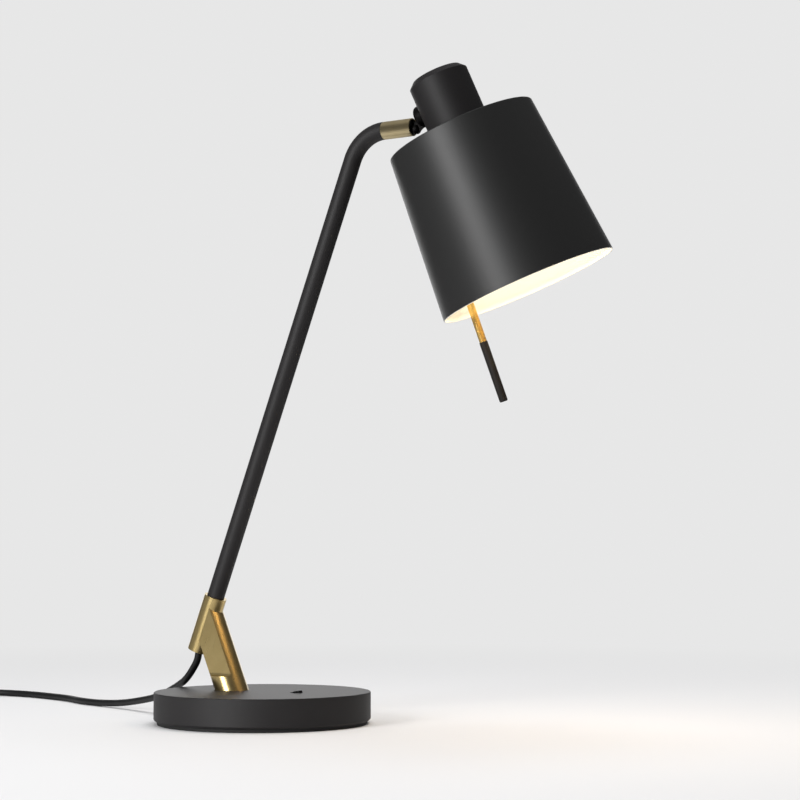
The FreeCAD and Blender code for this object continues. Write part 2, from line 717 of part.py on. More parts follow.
cylinder(eye, "Subtractive", "tongue_pin_hole", "pin_radius + pin_fit", "tongue_width + overrun",
         "placement(vector(0; (tongue_width + overrun) / 2; 0); rotationx(90))")
hex_nut("lug_nut", "lug_nut_flats", "stud_radius + nut_bore_fit", "lug_nut_height",
        f"{HEAD} * placement(vector(-lug_nut_seat; 0; {LUG_RISE}); rotationy(90))")

# Cap over the lampholder
cap = turned("cap", [
    ("cap_radius - cap_wall", "0"),
    ("cap_radius", "0"),
    ("cap_radius", "cap_height - cap_bevel_drop"),
    ("cap_radius - cap_bevel_width", "cap_height"),
    ("0", "cap_height"),
    ("0", "cap_height - cap_wall"),
    ("cap_radius - cap_bevel_width - cap_wall", "cap_height - cap_wall"),
    ("cap_radius - cap_wall", "cap_height - cap_bevel_drop - cap_wall"),
], HEAD)
cylinder(cap, "Subtractive", "cap_stud_hole", "stud_radius + stud_fit", "cap_radius + overrun",
         f"placement(vector(0; 0; {LUG_RISE}); rotationy(-90))")
cylinder(cap, "Subtractive", "cap_screw_hole", "cap_screw_radius + stud_fit", "cap_radius + overrun",
         "placement(vector(0; 0; cap_screw_rise); rotationx(-90))")
turned("cap_screw", [
    ("0", "holder_flange - cap_wall"),
    ("cap_screw_radius", "holder_flange - cap_wall"),
    ("cap_screw_radius", "cap_radius + nut_bore_fit"),
    ("cap_screw_head", "cap_radius + nut_bore_fit"),
    ("cap_screw_head", "cap_radius + nut_bore_fit + cap_screw_crown"),
    ("0", "cap_radius + nut_bore_fit + cap_screw_crown"),
], f"{HEAD} * placement(vector(0; 0; cap_screw_rise); rotationx(-90))")

# Lampholder, clamped through the shade's top by its ring, and the bulb in it
holder = turned("lampholder", [
    ("holder_bore", "-holder_mouth"),
    ("holder_skirt", "-holder_mouth"),
    ("holder_skirt", "0"),
    ("holder_flange", "0"),
    ("holder_flange", "flange_height"),
    ("holder_skirt", "flange_height"),
    ("holder_skirt", "holder_shoulder"),
    ("holder_upper", "holder_shoulder"),
    ("holder_upper", "holder_top"),
    ("0", "holder_top"),
    ("0", "holder_floor"),
    ("holder_bore", "holder_floor"),
], HEAD)
cylinder(holder, "Subtractive", "holder_screw_hole", "cap_screw_radius + stud_fit", "holder_flange",
         "placement(vector(0; holder_flange - cap_wall - nut_bore_fit; cap_screw_rise); rotationx(-90))")
turned("shade_ring", [
    ("holder_skirt + ring_fit", "-shade_wall - ring_height"),
    ("ring_radius", "-shade_wall - ring_height"),
    ("ring_radius", "-shade_wall"),
    ("holder_skirt + ring_fit", "-shade_wall"),
], HEAD)
turned("holder_contact", [
    ("0", "holder_floor - contact_height"),
    ("contact_radius", "holder_floor - contact_height"),
    ("contact_radius", "holder_floor"),
    ("0", "holder_floor"),
], HEAD)
CAP_TOP = "(holder_floor - contact_height)"
CAP_FOOT = f"({CAP_TOP} - bulb_tip_height - bulb_cap_length)"
turned("bulb_cap", [
    ("bulb_cap_radius - bulb_cap_wall", CAP_FOOT),
    ("bulb_cap_radius", CAP_FOOT),
    ("bulb_cap_radius", f"{CAP_TOP} - bulb_tip_height"),
    ("bulb_tip_radius", CAP_TOP),
    ("0", CAP_TOP),
    ("0", f"{CAP_TOP} - bulb_cap_wall"),
    ("bulb_tip_radius - bulb_cap_wall", f"{CAP_TOP} - bulb_cap_wall"),
    ("bulb_cap_radius - bulb_cap_wall", f"{CAP_TOP} - bulb_tip_height - bulb_cap_wall"),
], HEAD)
bulb = new_body("bulb_glass", HEAD)
NECK_RADIUS = "(bulb_radius * cos(bulb_neck_angle))"
NECK_RISE = "(bulb_radius * sin(bulb_neck_angle) - bulb_drop)"
NECK_TOP = f"({NECK_RISE} + ({NECK_RADIUS} - bulb_cap_radius) / tan(bulb_neck_angle))"
turn(bulb, "bulb_neck", [
    ("0", "-bulb_drop"),
    (NECK_RADIUS, NECK_RISE),
    ("bulb_cap_radius", NECK_TOP),
    ("bulb_cap_radius", CAP_FOOT),
    ("0", CAP_FOOT),
])
ball = bulb.newObject("PartDesign::AdditiveSphere", "bulb_ball")
ball.setExpression("Radius", formula("bulb_radius"))
ball.setExpression("Placement", formula("placement(vector(0; 0; -bulb_drop); rotationy(0))"))
hollow = bulb.newObject("PartDesign::SubtractiveSphere", "bulb_hollow")
hollow.setExpression("Radius", formula("bulb_radius - bulb_wall"))
hollow.setExpression("Placement", formula("placement(vector(0; 0; -bulb_drop); rotationy(0))"))
inside = new_sketch(bulb, "bulb_neck_inside", "XZ")
closed_lines(inside, [
    ("0", "-bulb_drop"),
    (f"{NECK_RADIUS} - bulb_wall", NECK_RISE),
    ("bulb_cap_radius - bulb_wall", NECK_TOP),
    ("bulb_cap_radius - bulb_wall", f"{CAP_FOOT} + overrun"),
    ("0", f"{CAP_FOOT} + overrun"),
])
neck_hollow = bulb.newObject("PartDesign::Groove", "bulb_neck_hollow")
neck_hollow.Profile = inside
neck_hollow.ReferenceAxis = (inside, ["V_Axis"])
neck_hollow.Angle = 360

# Shade: a spun cone with a flat top and a small rounded shoulder
shade = turned("shade", [
    ("holder_skirt + shade_hole_fit", "0"),
    ("shade_top_radius", "0"),
    ("shade_bottom_radius", "-shade_height"),
    ("shade_bottom_radius - shade_wall", "-shade_height"),
    ("shade_top_radius - shade_wall", "-shade_wall"),
    ("holder_skirt + shade_hole_fit", "-shade_wall"),
], HEAD)
ease(shade, "Fillet", "shade_shoulder", circle_at(size("shade_top_radius"), 0), "shade_round")
for drop_name in ("upper_spacer", "lower_spacer"):
    cylinder(shade, "Subtractive", drop_name + "_hole", "spacer_bore", "shade_bottom_radius",
             f"placement(vector(-{ROD_X}; 0; 0); rotationy({WALL_ANGLE}))"
             f" * placement(vector(0; 0; -{drop_name}); rotationy(-90))")

# Grip rod: a brass rod with a turned grip, screwed to the shade's inner wall
rod = turned("handle_rod", [
    ("0", "-rod_top"),
    ("rod_radius - rod_bevel", "-rod_top"),
    ("rod_radius", "-rod_top - rod_bevel"),
    ("rod_radius", "-rod_top - rod_length"),
    ("spigot_pin", "-rod_top - rod_length"),
    ("spigot_pin", "-rod_top - rod_length - spigot_pin_length"),
    ("0", "-rod_top - rod_length - spigot_pin_length"),
], ROD)
for drop_name in ("upper_spacer", "lower_spacer"):
    cylinder(rod, "Subtractive", drop_name + "_thread", "rod_screw_radius + nut_bore_fit", "rod_radius * 2",
             f"placement(vector(rod_screw_bite; 0; -{drop_name}); rotationy(-90))")
GRIP_TOP = "(-rod_top - rod_length)"
grip = turned("handle_grip", [
    ("0", f"{GRIP_TOP} - grip_length"),
    ("grip_radius", f"{GRIP_TOP} - grip_length"),
    ("grip_radius", GRIP_TOP),
    ("spigot_pin + spigot_pin_fit", GRIP_TOP),
    ("spigot_pin + spigot_pin_fit", f"{GRIP_TOP} - spigot_pin_length - spigot_pin_fit"),
    ("0", f"{GRIP_TOP} - spigot_pin_length - spigot_pin_fit"),
], ROD)
ease(grip, "Fillet", "grip_end",
     circle_at(size("grip_radius"), -size("rod_top") - size("rod_length") - size("grip_length")), "grip_round")
WALL_FACE = "(rod_radius + spacer_length)"
for drop_name in ("upper_spacer", "lower_spacer"):
    place = f"{ROD} * placement(vector(0; 0; -{drop_name}); rotationy(-90))"
    spacer = turned(drop_name, [
        ("spacer_bore", "0"),
        ("spacer_radius", "0"),
        ("spacer_radius", f"{WALL_FACE} - spacer_seat"),
        ("spacer_bore", f"{WALL_FACE} - spacer_seat"),
    ], place)
    cylinder(spacer, "Subtractive", drop_name + "_saddle", "rod_radius + nut_bore_fit", "spacer_radius * 4",
             "placement(vector(-spacer_radius * 2; 0; 0); rotationy(90))")
    turned(drop_name + "_screw", [
        ("0", "-rod_screw_bite + nut_bore_fit"),
        ("rod_screw_radius", "-rod_screw_bite + nut_bore_fit"),
        ("rod_screw_radius", f"{WALL_FACE} + shade_wall + spacer_seat"),
        ("rod_screw_head", f"{WALL_FACE} + shade_wall + spacer_seat"),
        ("rod_screw_head", f"{WALL_FACE} + shade_wall + spacer_seat + rod_screw_crown"),
        ("0", f"{WALL_FACE} + shade_wall + spacer_seat + rod_screw_crown"),
    ], place)

# Rocker switch: a housing under the base's cover and the rocker on its pin
switch = new_body("switch_body", f"placement(vector(rocker_x; 0; {SHELL_UNDER}); rotationy(0))")
case = new_sketch(switch, "switch_case", "XY")
closed_lines(case, [
    (f"-{SWITCH_HALF}", f"-{SWITCH_SIDE}"),
    (SWITCH_HALF, f"-{SWITCH_SIDE}"),
    (SWITCH_HALF, SWITCH_SIDE),
    (f"-{SWITCH_HALF}", SWITCH_SIDE),
])
extrude(switch, "Pad", "switch_case_pad", case, "switch_depth", reverse=True)
well = new_sketch(switch, "switch_well", "XY")
closed_lines(well, [
    (f"-{ROCKER_HALF}", f"-{ROCKER_SIDE}"),
    (ROCKER_HALF, f"-{ROCKER_SIDE}"),
    (ROCKER_HALF, ROCKER_SIDE),
    (f"-{ROCKER_HALF}", ROCKER_SIDE),
])
extrude(switch, "Pocket", "switch_well_cut", well, "switch_well")
PIN_DROP = "(rocker_pivot + rocker_pin + rocker_gap - shell_wall)"
cylinder(switch, "Subtractive", "switch_pin_hole", "rocker_pin + rocker_pin_fit", f"{SWITCH_SIDE} * 2 + overrun",
         f"placement(vector(0; {SWITCH_SIDE} + overrun / 2; -{PIN_DROP}); rotationx(90))")
PIVOT = f"placement(vector(rocker_x; 0; {SHELL_UNDER} - {PIN_DROP}); rotationy(0))"
rocker = new_body("rocker", PIVOT)
wedge = new_sketch(rocker, "rocker_side", "XZ")
PIVOT_UNDER = f"({PIN_DROP} + shell_wall)"
closed_lines(wedge, [
    ("-rocker_length / 2", f"{PIVOT_UNDER} + rocker_low"),
    ("-rocker_length / 2 + rocker_gap", f"{PIVOT_UNDER} - rocker_depth - rocker_gap"),
    ("rocker_length / 2 - rocker_gap", f"{PIVOT_UNDER} - rocker_depth"),
    ("rocker_length / 2", f"{PIVOT_UNDER} + rocker_low"),
    ("rocker_length / 2 - rocker_gap / 2", f"{PIVOT_UNDER} + rocker_high"),
    ("-rocker_gap", f"{PIVOT_UNDER} + (rocker_low + rocker_high) / 2"),
])
extrude(rocker, "Pad", "rocker_pad", wedge, "rocker_width", side="Symmetric")
cylinder(rocker, "Subtractive", "rocker_pin_hole", "rocker_pin + rocker_pin_fit", "rocker_width + overrun",
         "placement(vector(0; (rocker_width + overrun) / 2; 0); rotationx(90))")
turned("rocker_pin", [
    ("0", f"-{SWITCH_SIDE}"),
    ("rocker_pin", f"-{SWITCH_SIDE}"),
    ("rocker_pin", SWITCH_SIDE),
    ("0", SWITCH_SIDE),
], f"{PIVOT} * placement(vector(0; 0; 0); rotationx(90))")


def eased_path(points):
    """Straight runs joined by tangent arcs, each as large as its two runs allow."""
    edges = []
    radii = []
    start = points[0]
    for before, corner, after in zip(points, points[1:], points[2:]):
        into = (corner - before).normalize()
        out = (after - corner).normalize()
        half_turn = into.getAngle(out) / 2
        trim = SAMPLE_ARC_SHARE * min((corner - before).Length, (after - corner).Length)
        radius = trim / math.tan(half_turn)
        enter = corner - into * trim
        leave_at = corner + out * trim
        inward = (out - into).normalize()
        summit = corner + inward * (radius / math.cos(half_turn) - radius)
        edges.append(Part.LineSegment(start, enter).toShape())
        edges.append(Part.Arc(enter, summit, leave_at).toShape())
        radii.append(radius)
        start = leave_at
    edges.append(Part.LineSegment(start, points[-1]).toShape())
    return Part.Wire(edges), radii


def tube(path, radius):
    """A round tube along a path, swept by a pipe shell."""
    first = path.OrderedEdges[0]
    start = first.valueAt(first.FirstParameter)
    heading = first.tangentAt(first.FirstParameter)
    section = Part.Wire([Part.Circle(start, heading, radius).toShape()])
    shell = Part.BRepOffsetAPI.MakePipeShell(path)
    shell.add(section)
    shell.build()
    shell.makeSolid()
    solid = shell.shape()
    if solid.Volume < 0:
        solid.reverse()
    print("tube volume", round(solid.Volume, 1), "section times length",
          round(math.pi * radius ** 2 * path.Length, 1), "length", round(path.Length, 1))
    return solid


def cord_piece(name, path):
    """A stretch of cord as its own sub-part."""
    piece = doc.addObject("Part::Feature", name)
    piece.Label = name
    piece.Shape = tube(path, size("cord_radius"))
    piece.Placement = FreeCAD.Placement()
    sub_parts.append(piece)
    return piece


def coil_point(turns):
    """Centre of the coiled cord after so many turns: in on the lower layer,
    up a layer in the half turn where the spiral reverses, then out again."""
    angle = math.radians(COIL_START) + math.tau * turns
    middle = COIL_TURNS / 2
    inward = min(turns, COIL_TURNS - turns)
    reach_out = size("coil_outer") - size("coil_pitch") * inward
    climb = min(max((turns - middle) * 2 + 1 / 2, 0), 1)
    height = size("cord_radius") + size("coil_lift") + size("coil_rise") * climb
    return V(size("coil_x") + reach_out * math.cos(angle),
             size("coil_y") + reach_out * math.sin(angle), height)


def biarc(start, along, end, onward):
    """Two arcs that join two points with given directions."""
    chord = end - start
    both = along + onward
    square = 2 * along.dot(onward) - 2
    linear = -2 * chord.dot(both)
    constant = chord.dot(chord)
    reach_on = (-linear - math.sqrt(linear ** 2 - 4 * square * constant)) / (2 * square)
    corner_a = start + along * reach_on
    corner_b = end - onward * reach_on
    join = (corner_a + corner_b) * (1 / 2)
    arcs = []
    for first, corner, last in ((start, corner_a, join), (join, corner_b, end)):
        weight = (last - first).Length / (2 * reach_on)
        summit = (first + last + corner * (2 * weight)) * (1 / (2 * (1 + weight)))
        arcs.append(Part.Arc(first, summit, last).toShape())
    return arcs


def coil_path():
    """The coil as biarcs of a quarter turn, from the table up and out."""
    steps = round(COIL_TURNS * 4)
    points = [coil_point(step / 4) for step in range(steps + 1)]
    tiny = 1e-4
    headings = []
    for step in range(steps + 1):
        turns = step / 4
        ahead = coil_point(min(turns + tiny, COIL_TURNS))
        behind = coil_point(max(turns - tiny, 0))
        headings.append((ahead - behind).normalize())
    for level in (0, 1, steps - 1, steps):
        headings[level].z = 0
        headings[level].normalize()
    edges = []
    for step in range(steps):
        edges += biarc(points[step], headings[step], points[step + 1], headings[step + 1])
    return Part.Wire(edges), points, headings


def least_gap(path, turn_length):
    """The coil's least gap to itself, measured on points along its centre line."""
    places = path.discretize(Number=round(COIL_TURNS * 60))
    step = path.Length / (len(places) - 1)
    apart = round(turn_length / step)
    nearest = min((a - b).Length for k, a in enumerate(places) for b in places[k + apart:])
    return nearest - 2 * size("cord_radius")


def route(points):
    return [V(*point) for point in points]


coil_wire, coil_points, coil_headings = coil_path()
print("coil least gap to itself", round(least_gap(coil_wire, math.pi * size("coil_outer") / 2), 3))
lean = math.radians(size("arm_lean"))
exit_point = (V(size("sleeve_foot_x"), 0, size("sleeve_foot_z"))
              + V(math.sin(lean), 0, math.cos(lean)) * size("bush_recess"))
lead_point = exit_point - V(math.sin(lean), 0, math.cos(lean)) * size("cord_lead")
coil_entry = coil_points[0] - coil_headings[0] * size("coil_lead")
free_points = [exit_point, lead_point] + route(CORD_ROUTE) + [coil_entry, coil_points[0]]
free_path, free_radii = eased_path(free_points)
print("free stretch radii", [round(value, 1) for value in free_radii])
coil_exit = coil_points[-1] + coil_headings[-1] * size("tail_lead")
tail_points = [coil_points[-1], coil_exit] + route(TAIL_ROUTE)
tail_path, tail_radii = eased_path(tail_points)
print("tail radii", [round(value, 1) for value in tail_radii])
cord_piece("cord", free_path)
cord_piece("cord_coil", coil_wire)
cord_piece("cord_tail", tail_path)

# Tie: a flat band round the coil's bundle
tie = new_body("cord_tie", "placement(vector(coil_x; coil_y; 0); rotationz(0))")
BUNDLE_IN = f"(coil_outer - coil_pitch * {COIL_TURNS / 2} - cord_radius - tie_slack)"
BUNDLE_OUT = "(coil_outer + cord_radius + tie_slack)"
BUNDLE_TOP = "(coil_lift + 2 * cord_radius + coil_rise + tie_slack)"
band = new_sketch(tie, "tie_band", "XZ")
closed_lines(band, [
    (f"{BUNDLE_IN} - tie_band", "coil_lift - tie_band - tie_slack / 2"),
    (f"{BUNDLE_OUT} + tie_band", "coil_lift - tie_band - tie_slack / 2"),
    (f"{BUNDLE_OUT} + tie_band", f"{BUNDLE_TOP} + tie_band"),
    (f"{BUNDLE_IN} - tie_band", f"{BUNDLE_TOP} + tie_band"),
])
closed_lines(band, [
    (BUNDLE_IN, "coil_lift - tie_slack / 2"),
    (BUNDLE_OUT, "coil_lift - tie_slack / 2"),
    (BUNDLE_OUT, BUNDLE_TOP),
    (BUNDLE_IN, BUNDLE_TOP),
])
extrude(tie, "Pad", "tie_band_pad", band, "tie_width", side="Symmetric")

# Plug: a slim two-pin moulded plug at the cord's end, lying flat
last = tail_points[-1]
aim = (last - tail_points[-2]).normalize()
plug_place = FreeCAD.Placement(last, FreeCAD.Rotation(V(0, 0, 1), math.degrees(math.atan2(aim.y, aim.x))))
plug = new_body("plug_body")
outline = new_sketch(plug, "plug_outline", "XY")
closed_lines(outline, [
    ("plug_tail_length", "-plug_waist / 2"),
    ("plug_tail_length + plug_length - plug_front", "-plug_width / 2"),
    ("plug_tail_length + plug_length", "-plug_width / 2"),
    ("plug_tail_length + plug_length", "plug_width / 2"),
    ("plug_tail_length + plug_length - plug_front", "plug_width / 2"),
    ("plug_tail_length", "plug_waist / 2"),
])
extrude(plug, "Pad", "plug_pad", outline, "plug_thick", side="Symmetric")
ease(plug, "Fillet", "plug_edges",
     lambda edge: abs(abs(edge.CenterOfMass.z) - size("plug_thick") / 2) < 1e-3, "plug_round")
relief = new_sketch(plug, "plug_relief", "XZ")
closed_lines(relief, [
    ("0", "0"),
    ("plug_tail_length + plug_round * 2", "0"),
    ("plug_tail_length + plug_round * 2", "plug_tail_radius"),
    ("0", "plug_tail_tip"),
])
relief_turn = plug.newObject("PartDesign::Revolution", "plug_relief_turn")
relief_turn.Profile = relief
relief_turn.ReferenceAxis = (relief, ["H_Axis"])
relief_turn.Angle = 360
plug.Placement = plug_place
for name, side in (("plug_pin_near", "-"), ("plug_pin_far", "")):
    pin = turned(name, [
        ("0", "plug_tail_length + plug_length"),
        ("plug_pin_radius", "plug_tail_length + plug_length"),
        ("plug_pin_radius", "plug_tail_length + plug_length + plug_pin_length - plug_pin_radius"),
        ("plug_pin_radius / 2", "plug_tail_length + plug_length + plug_pin_length"),
        ("0", "plug_tail_length + plug_length + plug_pin_length"),
    ])
    sideways = size("plug_pin_spacing") / 2 * (-1 if side else 1)
    pin.Placement = plug_place.multiply(FreeCAD.Placement(V(0, sideways, 0), FreeCAD.Rotation(V(0, 1, 0), 90)))

doc.recompute()
for item in doc.Objects:
    if "Invalid" in item.State or "Error" in item.State:
        raise RuntimeError(f"{item.Label} failed: {item.State}")
for item in sub_parts:
    if item.Shape.isNull() or not item.Shape.isValid() or len(item.Shape.Solids) != 1:
        raise RuntimeError(f"{item.Label} has no single valid solid")

os.makedirs("parts", exist_ok=True)
for item in sub_parts:
    item.Shape.exportStep(f"parts/{item.Label}.step")
    print(item.Label, round(item.Shape.Volume, 1))
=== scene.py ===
import math
import bpy
from mathutils import Matrix, Vector


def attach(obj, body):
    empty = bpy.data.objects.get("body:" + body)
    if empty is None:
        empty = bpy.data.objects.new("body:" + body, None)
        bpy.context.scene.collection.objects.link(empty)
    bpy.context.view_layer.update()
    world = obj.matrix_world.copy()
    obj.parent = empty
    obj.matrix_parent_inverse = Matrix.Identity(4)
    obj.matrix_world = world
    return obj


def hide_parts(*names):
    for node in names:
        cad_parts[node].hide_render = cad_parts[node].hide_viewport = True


# Desk lamp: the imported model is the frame, and the pieces that are seen are modelled
# again over it with finer edges and real finishes. A piece's sizes are millimetres in its
# own frame, and MM turns them to metres. The camera, the floor and the lamps are in metres.

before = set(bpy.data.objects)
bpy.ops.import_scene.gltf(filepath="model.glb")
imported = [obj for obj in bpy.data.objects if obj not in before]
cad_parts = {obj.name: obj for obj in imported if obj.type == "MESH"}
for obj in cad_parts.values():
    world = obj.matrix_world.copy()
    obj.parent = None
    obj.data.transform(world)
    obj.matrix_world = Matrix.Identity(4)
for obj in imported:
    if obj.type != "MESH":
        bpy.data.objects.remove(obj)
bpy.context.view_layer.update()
bpy.ops.object.select_all(action="DESELECT")

MM = 0.001
bpy.context.scene.view_settings.view_transform = "Standard"


def frame_at(x, y, z, about="Y", turn=0):
    """A frame at a place in millimetres, turned about one axis."""
    turned_by = Matrix.Rotation(math.radians(turn), 4, about)
    return Matrix.Translation((x * MM, y * MM, z * MM)) @ turned_by


# Places, angles and sizes that several pieces share, as the part's own sizes give them
SLEEVE_FOOT = (-58.99, 0, 52.01)
STRUT_FOOT = (-28.1, 0, 23.6)
ARM_LEAN = 20.77
STRUT_LEAN = -22.6
ARM_TOP = 431.94
TUBE_RADIUS = 6.5
TUBE_SEAT = 13.55  # height in the sleeve where the arm's tube ends
FERRULE_START = 105.225
FERRULE_LENGTH = 24.5
HEAD_SWING = 12.57  # about the ferrule's axis, as in the photograph
HEAD_TILT = -19.58  # about the tilt pin, as in the photograph
PIN_PLACE = (1.95, 0, -1.9)  # middle of the tilt pin, in the swivel's frame
PIN_TO_AXIS = 32.65  # from the tilt pin to the shade's axis
CAP_RADIUS = 21.94
WALL_LEAN = 4.825  # of the shade's wall, which the grip rod follows
SWITCH_X = 30

# Frames of the sub-parts
WORLD = Matrix.Identity(4)
SLEEVE = frame_at(*SLEEVE_FOOT, "Y", ARM_LEAN)
FERRULE = frame_at(FERRULE_START, 0, ARM_TOP, "Y", 90)
SWIVEL = frame_at(FERRULE_START + FERRULE_LENGTH, 0, ARM_TOP, "X", HEAD_SWING)
TILT_PIN = SWIVEL @ frame_at(*PIN_PLACE, "X", 90)
TILT = SWIVEL @ frame_at(*PIN_PLACE, "Y", HEAD_TILT)
HEAD = TILT @ frame_at(PIN_TO_AXIS, 0, -16.83)
ROD = HEAD @ frame_at(-39.098, 0, 0, "Y", WALL_LEAN)
ROCKER = frame_at(SWITCH_X, 0, 20.7)


# Camera, at the photograph's angle

camera_data = bpy.data.cameras.new("photo_camera")
camera_data.sensor_width = 36
camera_data.lens = 87.735
camera = bpy.data.objects.new("photo_camera", camera_data)
camera.location = (0.835976, -1.194063, 0.126681)
camera.rotation_euler = (math.radians(94.44), 0, math.radians(31.001))
bpy.context.scene.collection.objects.link(camera)
bpy.context.scene.camera = camera


# Mains cord: sleeve, base rim, table, tied coil, plug

CORD_EXIT = (-57.37, 0, 56.26)
CORD_ROUTE = [
    CORD_EXIT, (-58.86, 0, 52.33),
    (-60.1, 0.4, 45.0), (-65.6, 1.6, 37.7), (-74.4, 5.2, 29.8), (-86.2, 11.2, 24.4),
    (-103.0, 19.8, 18.4), (-122.4, 30.2, 12.7), (-149.0, 42.2, 8.1), (-177.0, 53.6, 4.3),
    (-205.5, 61.6, 2.8), (-232.0, 70.4, 2.8), (-259.0, 87.2, 2.8), (-289.0, 98.0, 2.8),
    (-317.4, 106.8, 2.8), (-345.6, 109.2, 2.8), (-366.8, 101.8, 3.3), (-388.0, 98.0, 3.7),
]
PLUG_END = (-436.4, 0.0, 6.85)
TAIL_ROUTE = [
    (-443.0, 50.0, 9.7), (-443.0, 37.0, 8.5), (-440.6, 23.0, 7.1), (-438.0, 10.5, 6.85), PLUG_END,
]
CORD_RADIUS = 2.7
COIL_X, COIL_Y = -404, 59
COIL_REACH = 39
COIL_PITCH = 6.2
COIL_TURNS = 6.25
COIL_STEPS = 20
LAYER_HEIGHT = 3.7
LAYER_RISE = 6


def coil_route():
    """Spiral in on the lower layer, up a layer where it reverses, then out again."""
    points = []
    for step in range(round(COIL_TURNS * COIL_STEPS) + 1):
        turns = step / COIL_STEPS
        angle = math.radians(90) + math.tau * turns
        reach = COIL_REACH - COIL_PITCH * min(turns, COIL_TURNS - turns)
        climb = min(max((turns - COIL_TURNS / 2) * 2 + 0.5, 0), 1)
        points.append((COIL_X + reach * math.cos(angle), COIL_Y + reach * math.sin(angle),
                       LAYER_HEIGHT + LAYER_RISE * climb))
    return points


def mains_cord():
    """The whole cord as one round curve, from the sleeve to the plug."""
    data = bpy.data.curves.new("mains_cord", "CURVE")
    data.dimensions = "3D"
    points = CORD_ROUTE + coil_route() + TAIL_ROUTE
    spline = data.splines.new("NURBS")
    spline.points.add(len(points) - 1)
    for point, place in zip(spline.points, points):
        point.co = (place[0] * MM, place[1] * MM, place[2] * MM, 1)
    spline.order_u = 3
    spline.use_endpoint_u = True
    spline.resolution_u = 8
    data.bevel_depth = CORD_RADIUS * MM
    data.bevel_resolution = 7
    data.use_fill_caps = True
    cord = bpy.data.objects.new("mains_cord", data)
    bpy.context.scene.collection.objects.link(cord)
    return cord


cord = mains_cord()


# Ways of making a piece

def active(piece):
    """Makes one piece the selected and active one."""
    bpy.ops.object.select_all(action="DESELECT")
    piece.select_set(True)
    bpy.context.view_layer.objects.active = piece


def new_piece(name):
    """Names the primitive that was just added."""
    piece = bpy.context.object
    piece.name = name
    piece.data.name = name
    return piece


def lay(piece, place):
    """Puts a piece modelled at the origin in its place, in its mesh."""
    active(piece)
    piece.matrix_world = place
    bpy.ops.object.transform_apply(location=True, rotation=True, scale=True)
    return piece


def modify(piece, kind, **settings):
    """Adds a modifier with its settings and applies it."""
    active(piece)
    modifier = piece.modifiers.new(kind.lower(), kind)
    for field, value in settings.items():
        setattr(modifier, field, value)
    bpy.ops.object.modifier_apply(modifier=modifier.name)
    return piece


def smooth(piece, angle=35):
    """Smooth shading up to an angle, with flat faces kept flat by weighted normals."""
    active(piece)
    bpy.ops.object.shade_smooth_by_angle(angle=math.radians(angle))
    return modify(piece, "WEIGHTED_NORMAL", keep_sharp=True, weight=80)


EASE_STEPS = 4  # faces round an eased corner
WELD = 1e-6  # metres between points that are made one


def eased(outline, ring):
    """The outline, with each corner that has a third number rounded to that radius."""
    points = []
    for k, corner in enumerate(outline):
        inner = ring or 0 < k < len(outline) - 1
        if len(corner) < 3 or not inner:
            points.append(Vector(corner[:2]))
            continue
        here = Vector(corner[:2])
        into = (here - Vector(outline[k - 1][:2])).normalized()
        out = (Vector(outline[(k + 1) % len(outline)][:2]) - here).normalized()
        half = into.angle(out) / 2
        centre = here + (out - into).normalized() * (corner[2] / math.cos(half))
        start = here - into * (corner[2] * math.tan(half)) - centre
        side = 1 if into.cross(out) > 0 else -1
        for step in range(EASE_STEPS + 1):
            turned_by = side * 2 * half * step / EASE_STEPS
            points.append(centre + Matrix.Rotation(turned_by, 2) @ start)
    return points


def arc(x, z, radius, first, last, steps):
    """Outline points along an arc about (x, z), between two angles in degrees."""
    points = []
    for step in range(steps + 1):
        angle = math.radians(first + (last - first) * step / steps)
        points.append((x + radius * math.cos(angle), z + radius * math.sin(angle)))
    return points


def turned(name, outline, place=WORLD, ring=False, steps=128):
    """A lathe-turned piece: a ring of points pushed along and scaled through an outline
    of (radius, height). A ring piece closes on its first corner, any other has flat ends."""
    points = eased(outline, ring)
    if ring:
        points.append(points[0])
    bpy.ops.object.select_all(action="DESELECT")
    bpy.ops.mesh.primitive_circle_add(
        vertices=steps, radius=points[0].x * MM, location=(0, 0, points[0].y * MM))
    piece = new_piece(name)
    bpy.ops.object.transform_apply(location=True, rotation=False, scale=False)
    bpy.ops.object.mode_set(mode="EDIT")
    bpy.ops.mesh.select_all(action="SELECT")
    for here, after in zip(points, points[1:]):
        bpy.ops.mesh.extrude_region_move(
            TRANSFORM_OT_translate={"value": (0, 0, (after.y - here.y) * MM)})
        grow = after.x / here.x
        bpy.ops.transform.resize(value=(grow, grow, 1), center_override=(0, 0, 0))
    if ring:
        bpy.ops.mesh.select_all(action="SELECT")
        bpy.ops.mesh.remove_doubles(threshold=WELD)
    else:
        bpy.ops.mesh.edge_face_add()
        bpy.ops.mesh.select_all(action="DESELECT")
        bpy.ops.mesh.select_non_manifold()
        bpy.ops.mesh.edge_face_add()
    bpy.ops.mesh.select_all(action="SELECT")
    bpy.ops.mesh.normals_make_consistent(inside=False)
    bpy.ops.object.mode_set(mode="OBJECT")
    smooth(piece)
    return lay(piece, place)


def rod(name, radius, low, high, place=WORLD, steps=128):
    """A plain round rod, used as a cutter or a start."""
    bpy.ops.object.select_all(action="DESELECT")
    bpy.ops.mesh.primitive_cylinder_add(
        vertices=steps, radius=radius * MM, depth=(high - low) * MM,
        location=(0, 0, (low + high) / 2 * MM))
    piece = new_piece(name)
    bpy.ops.object.transform_apply(location=True, rotation=False, scale=False)
    return lay(piece, place)


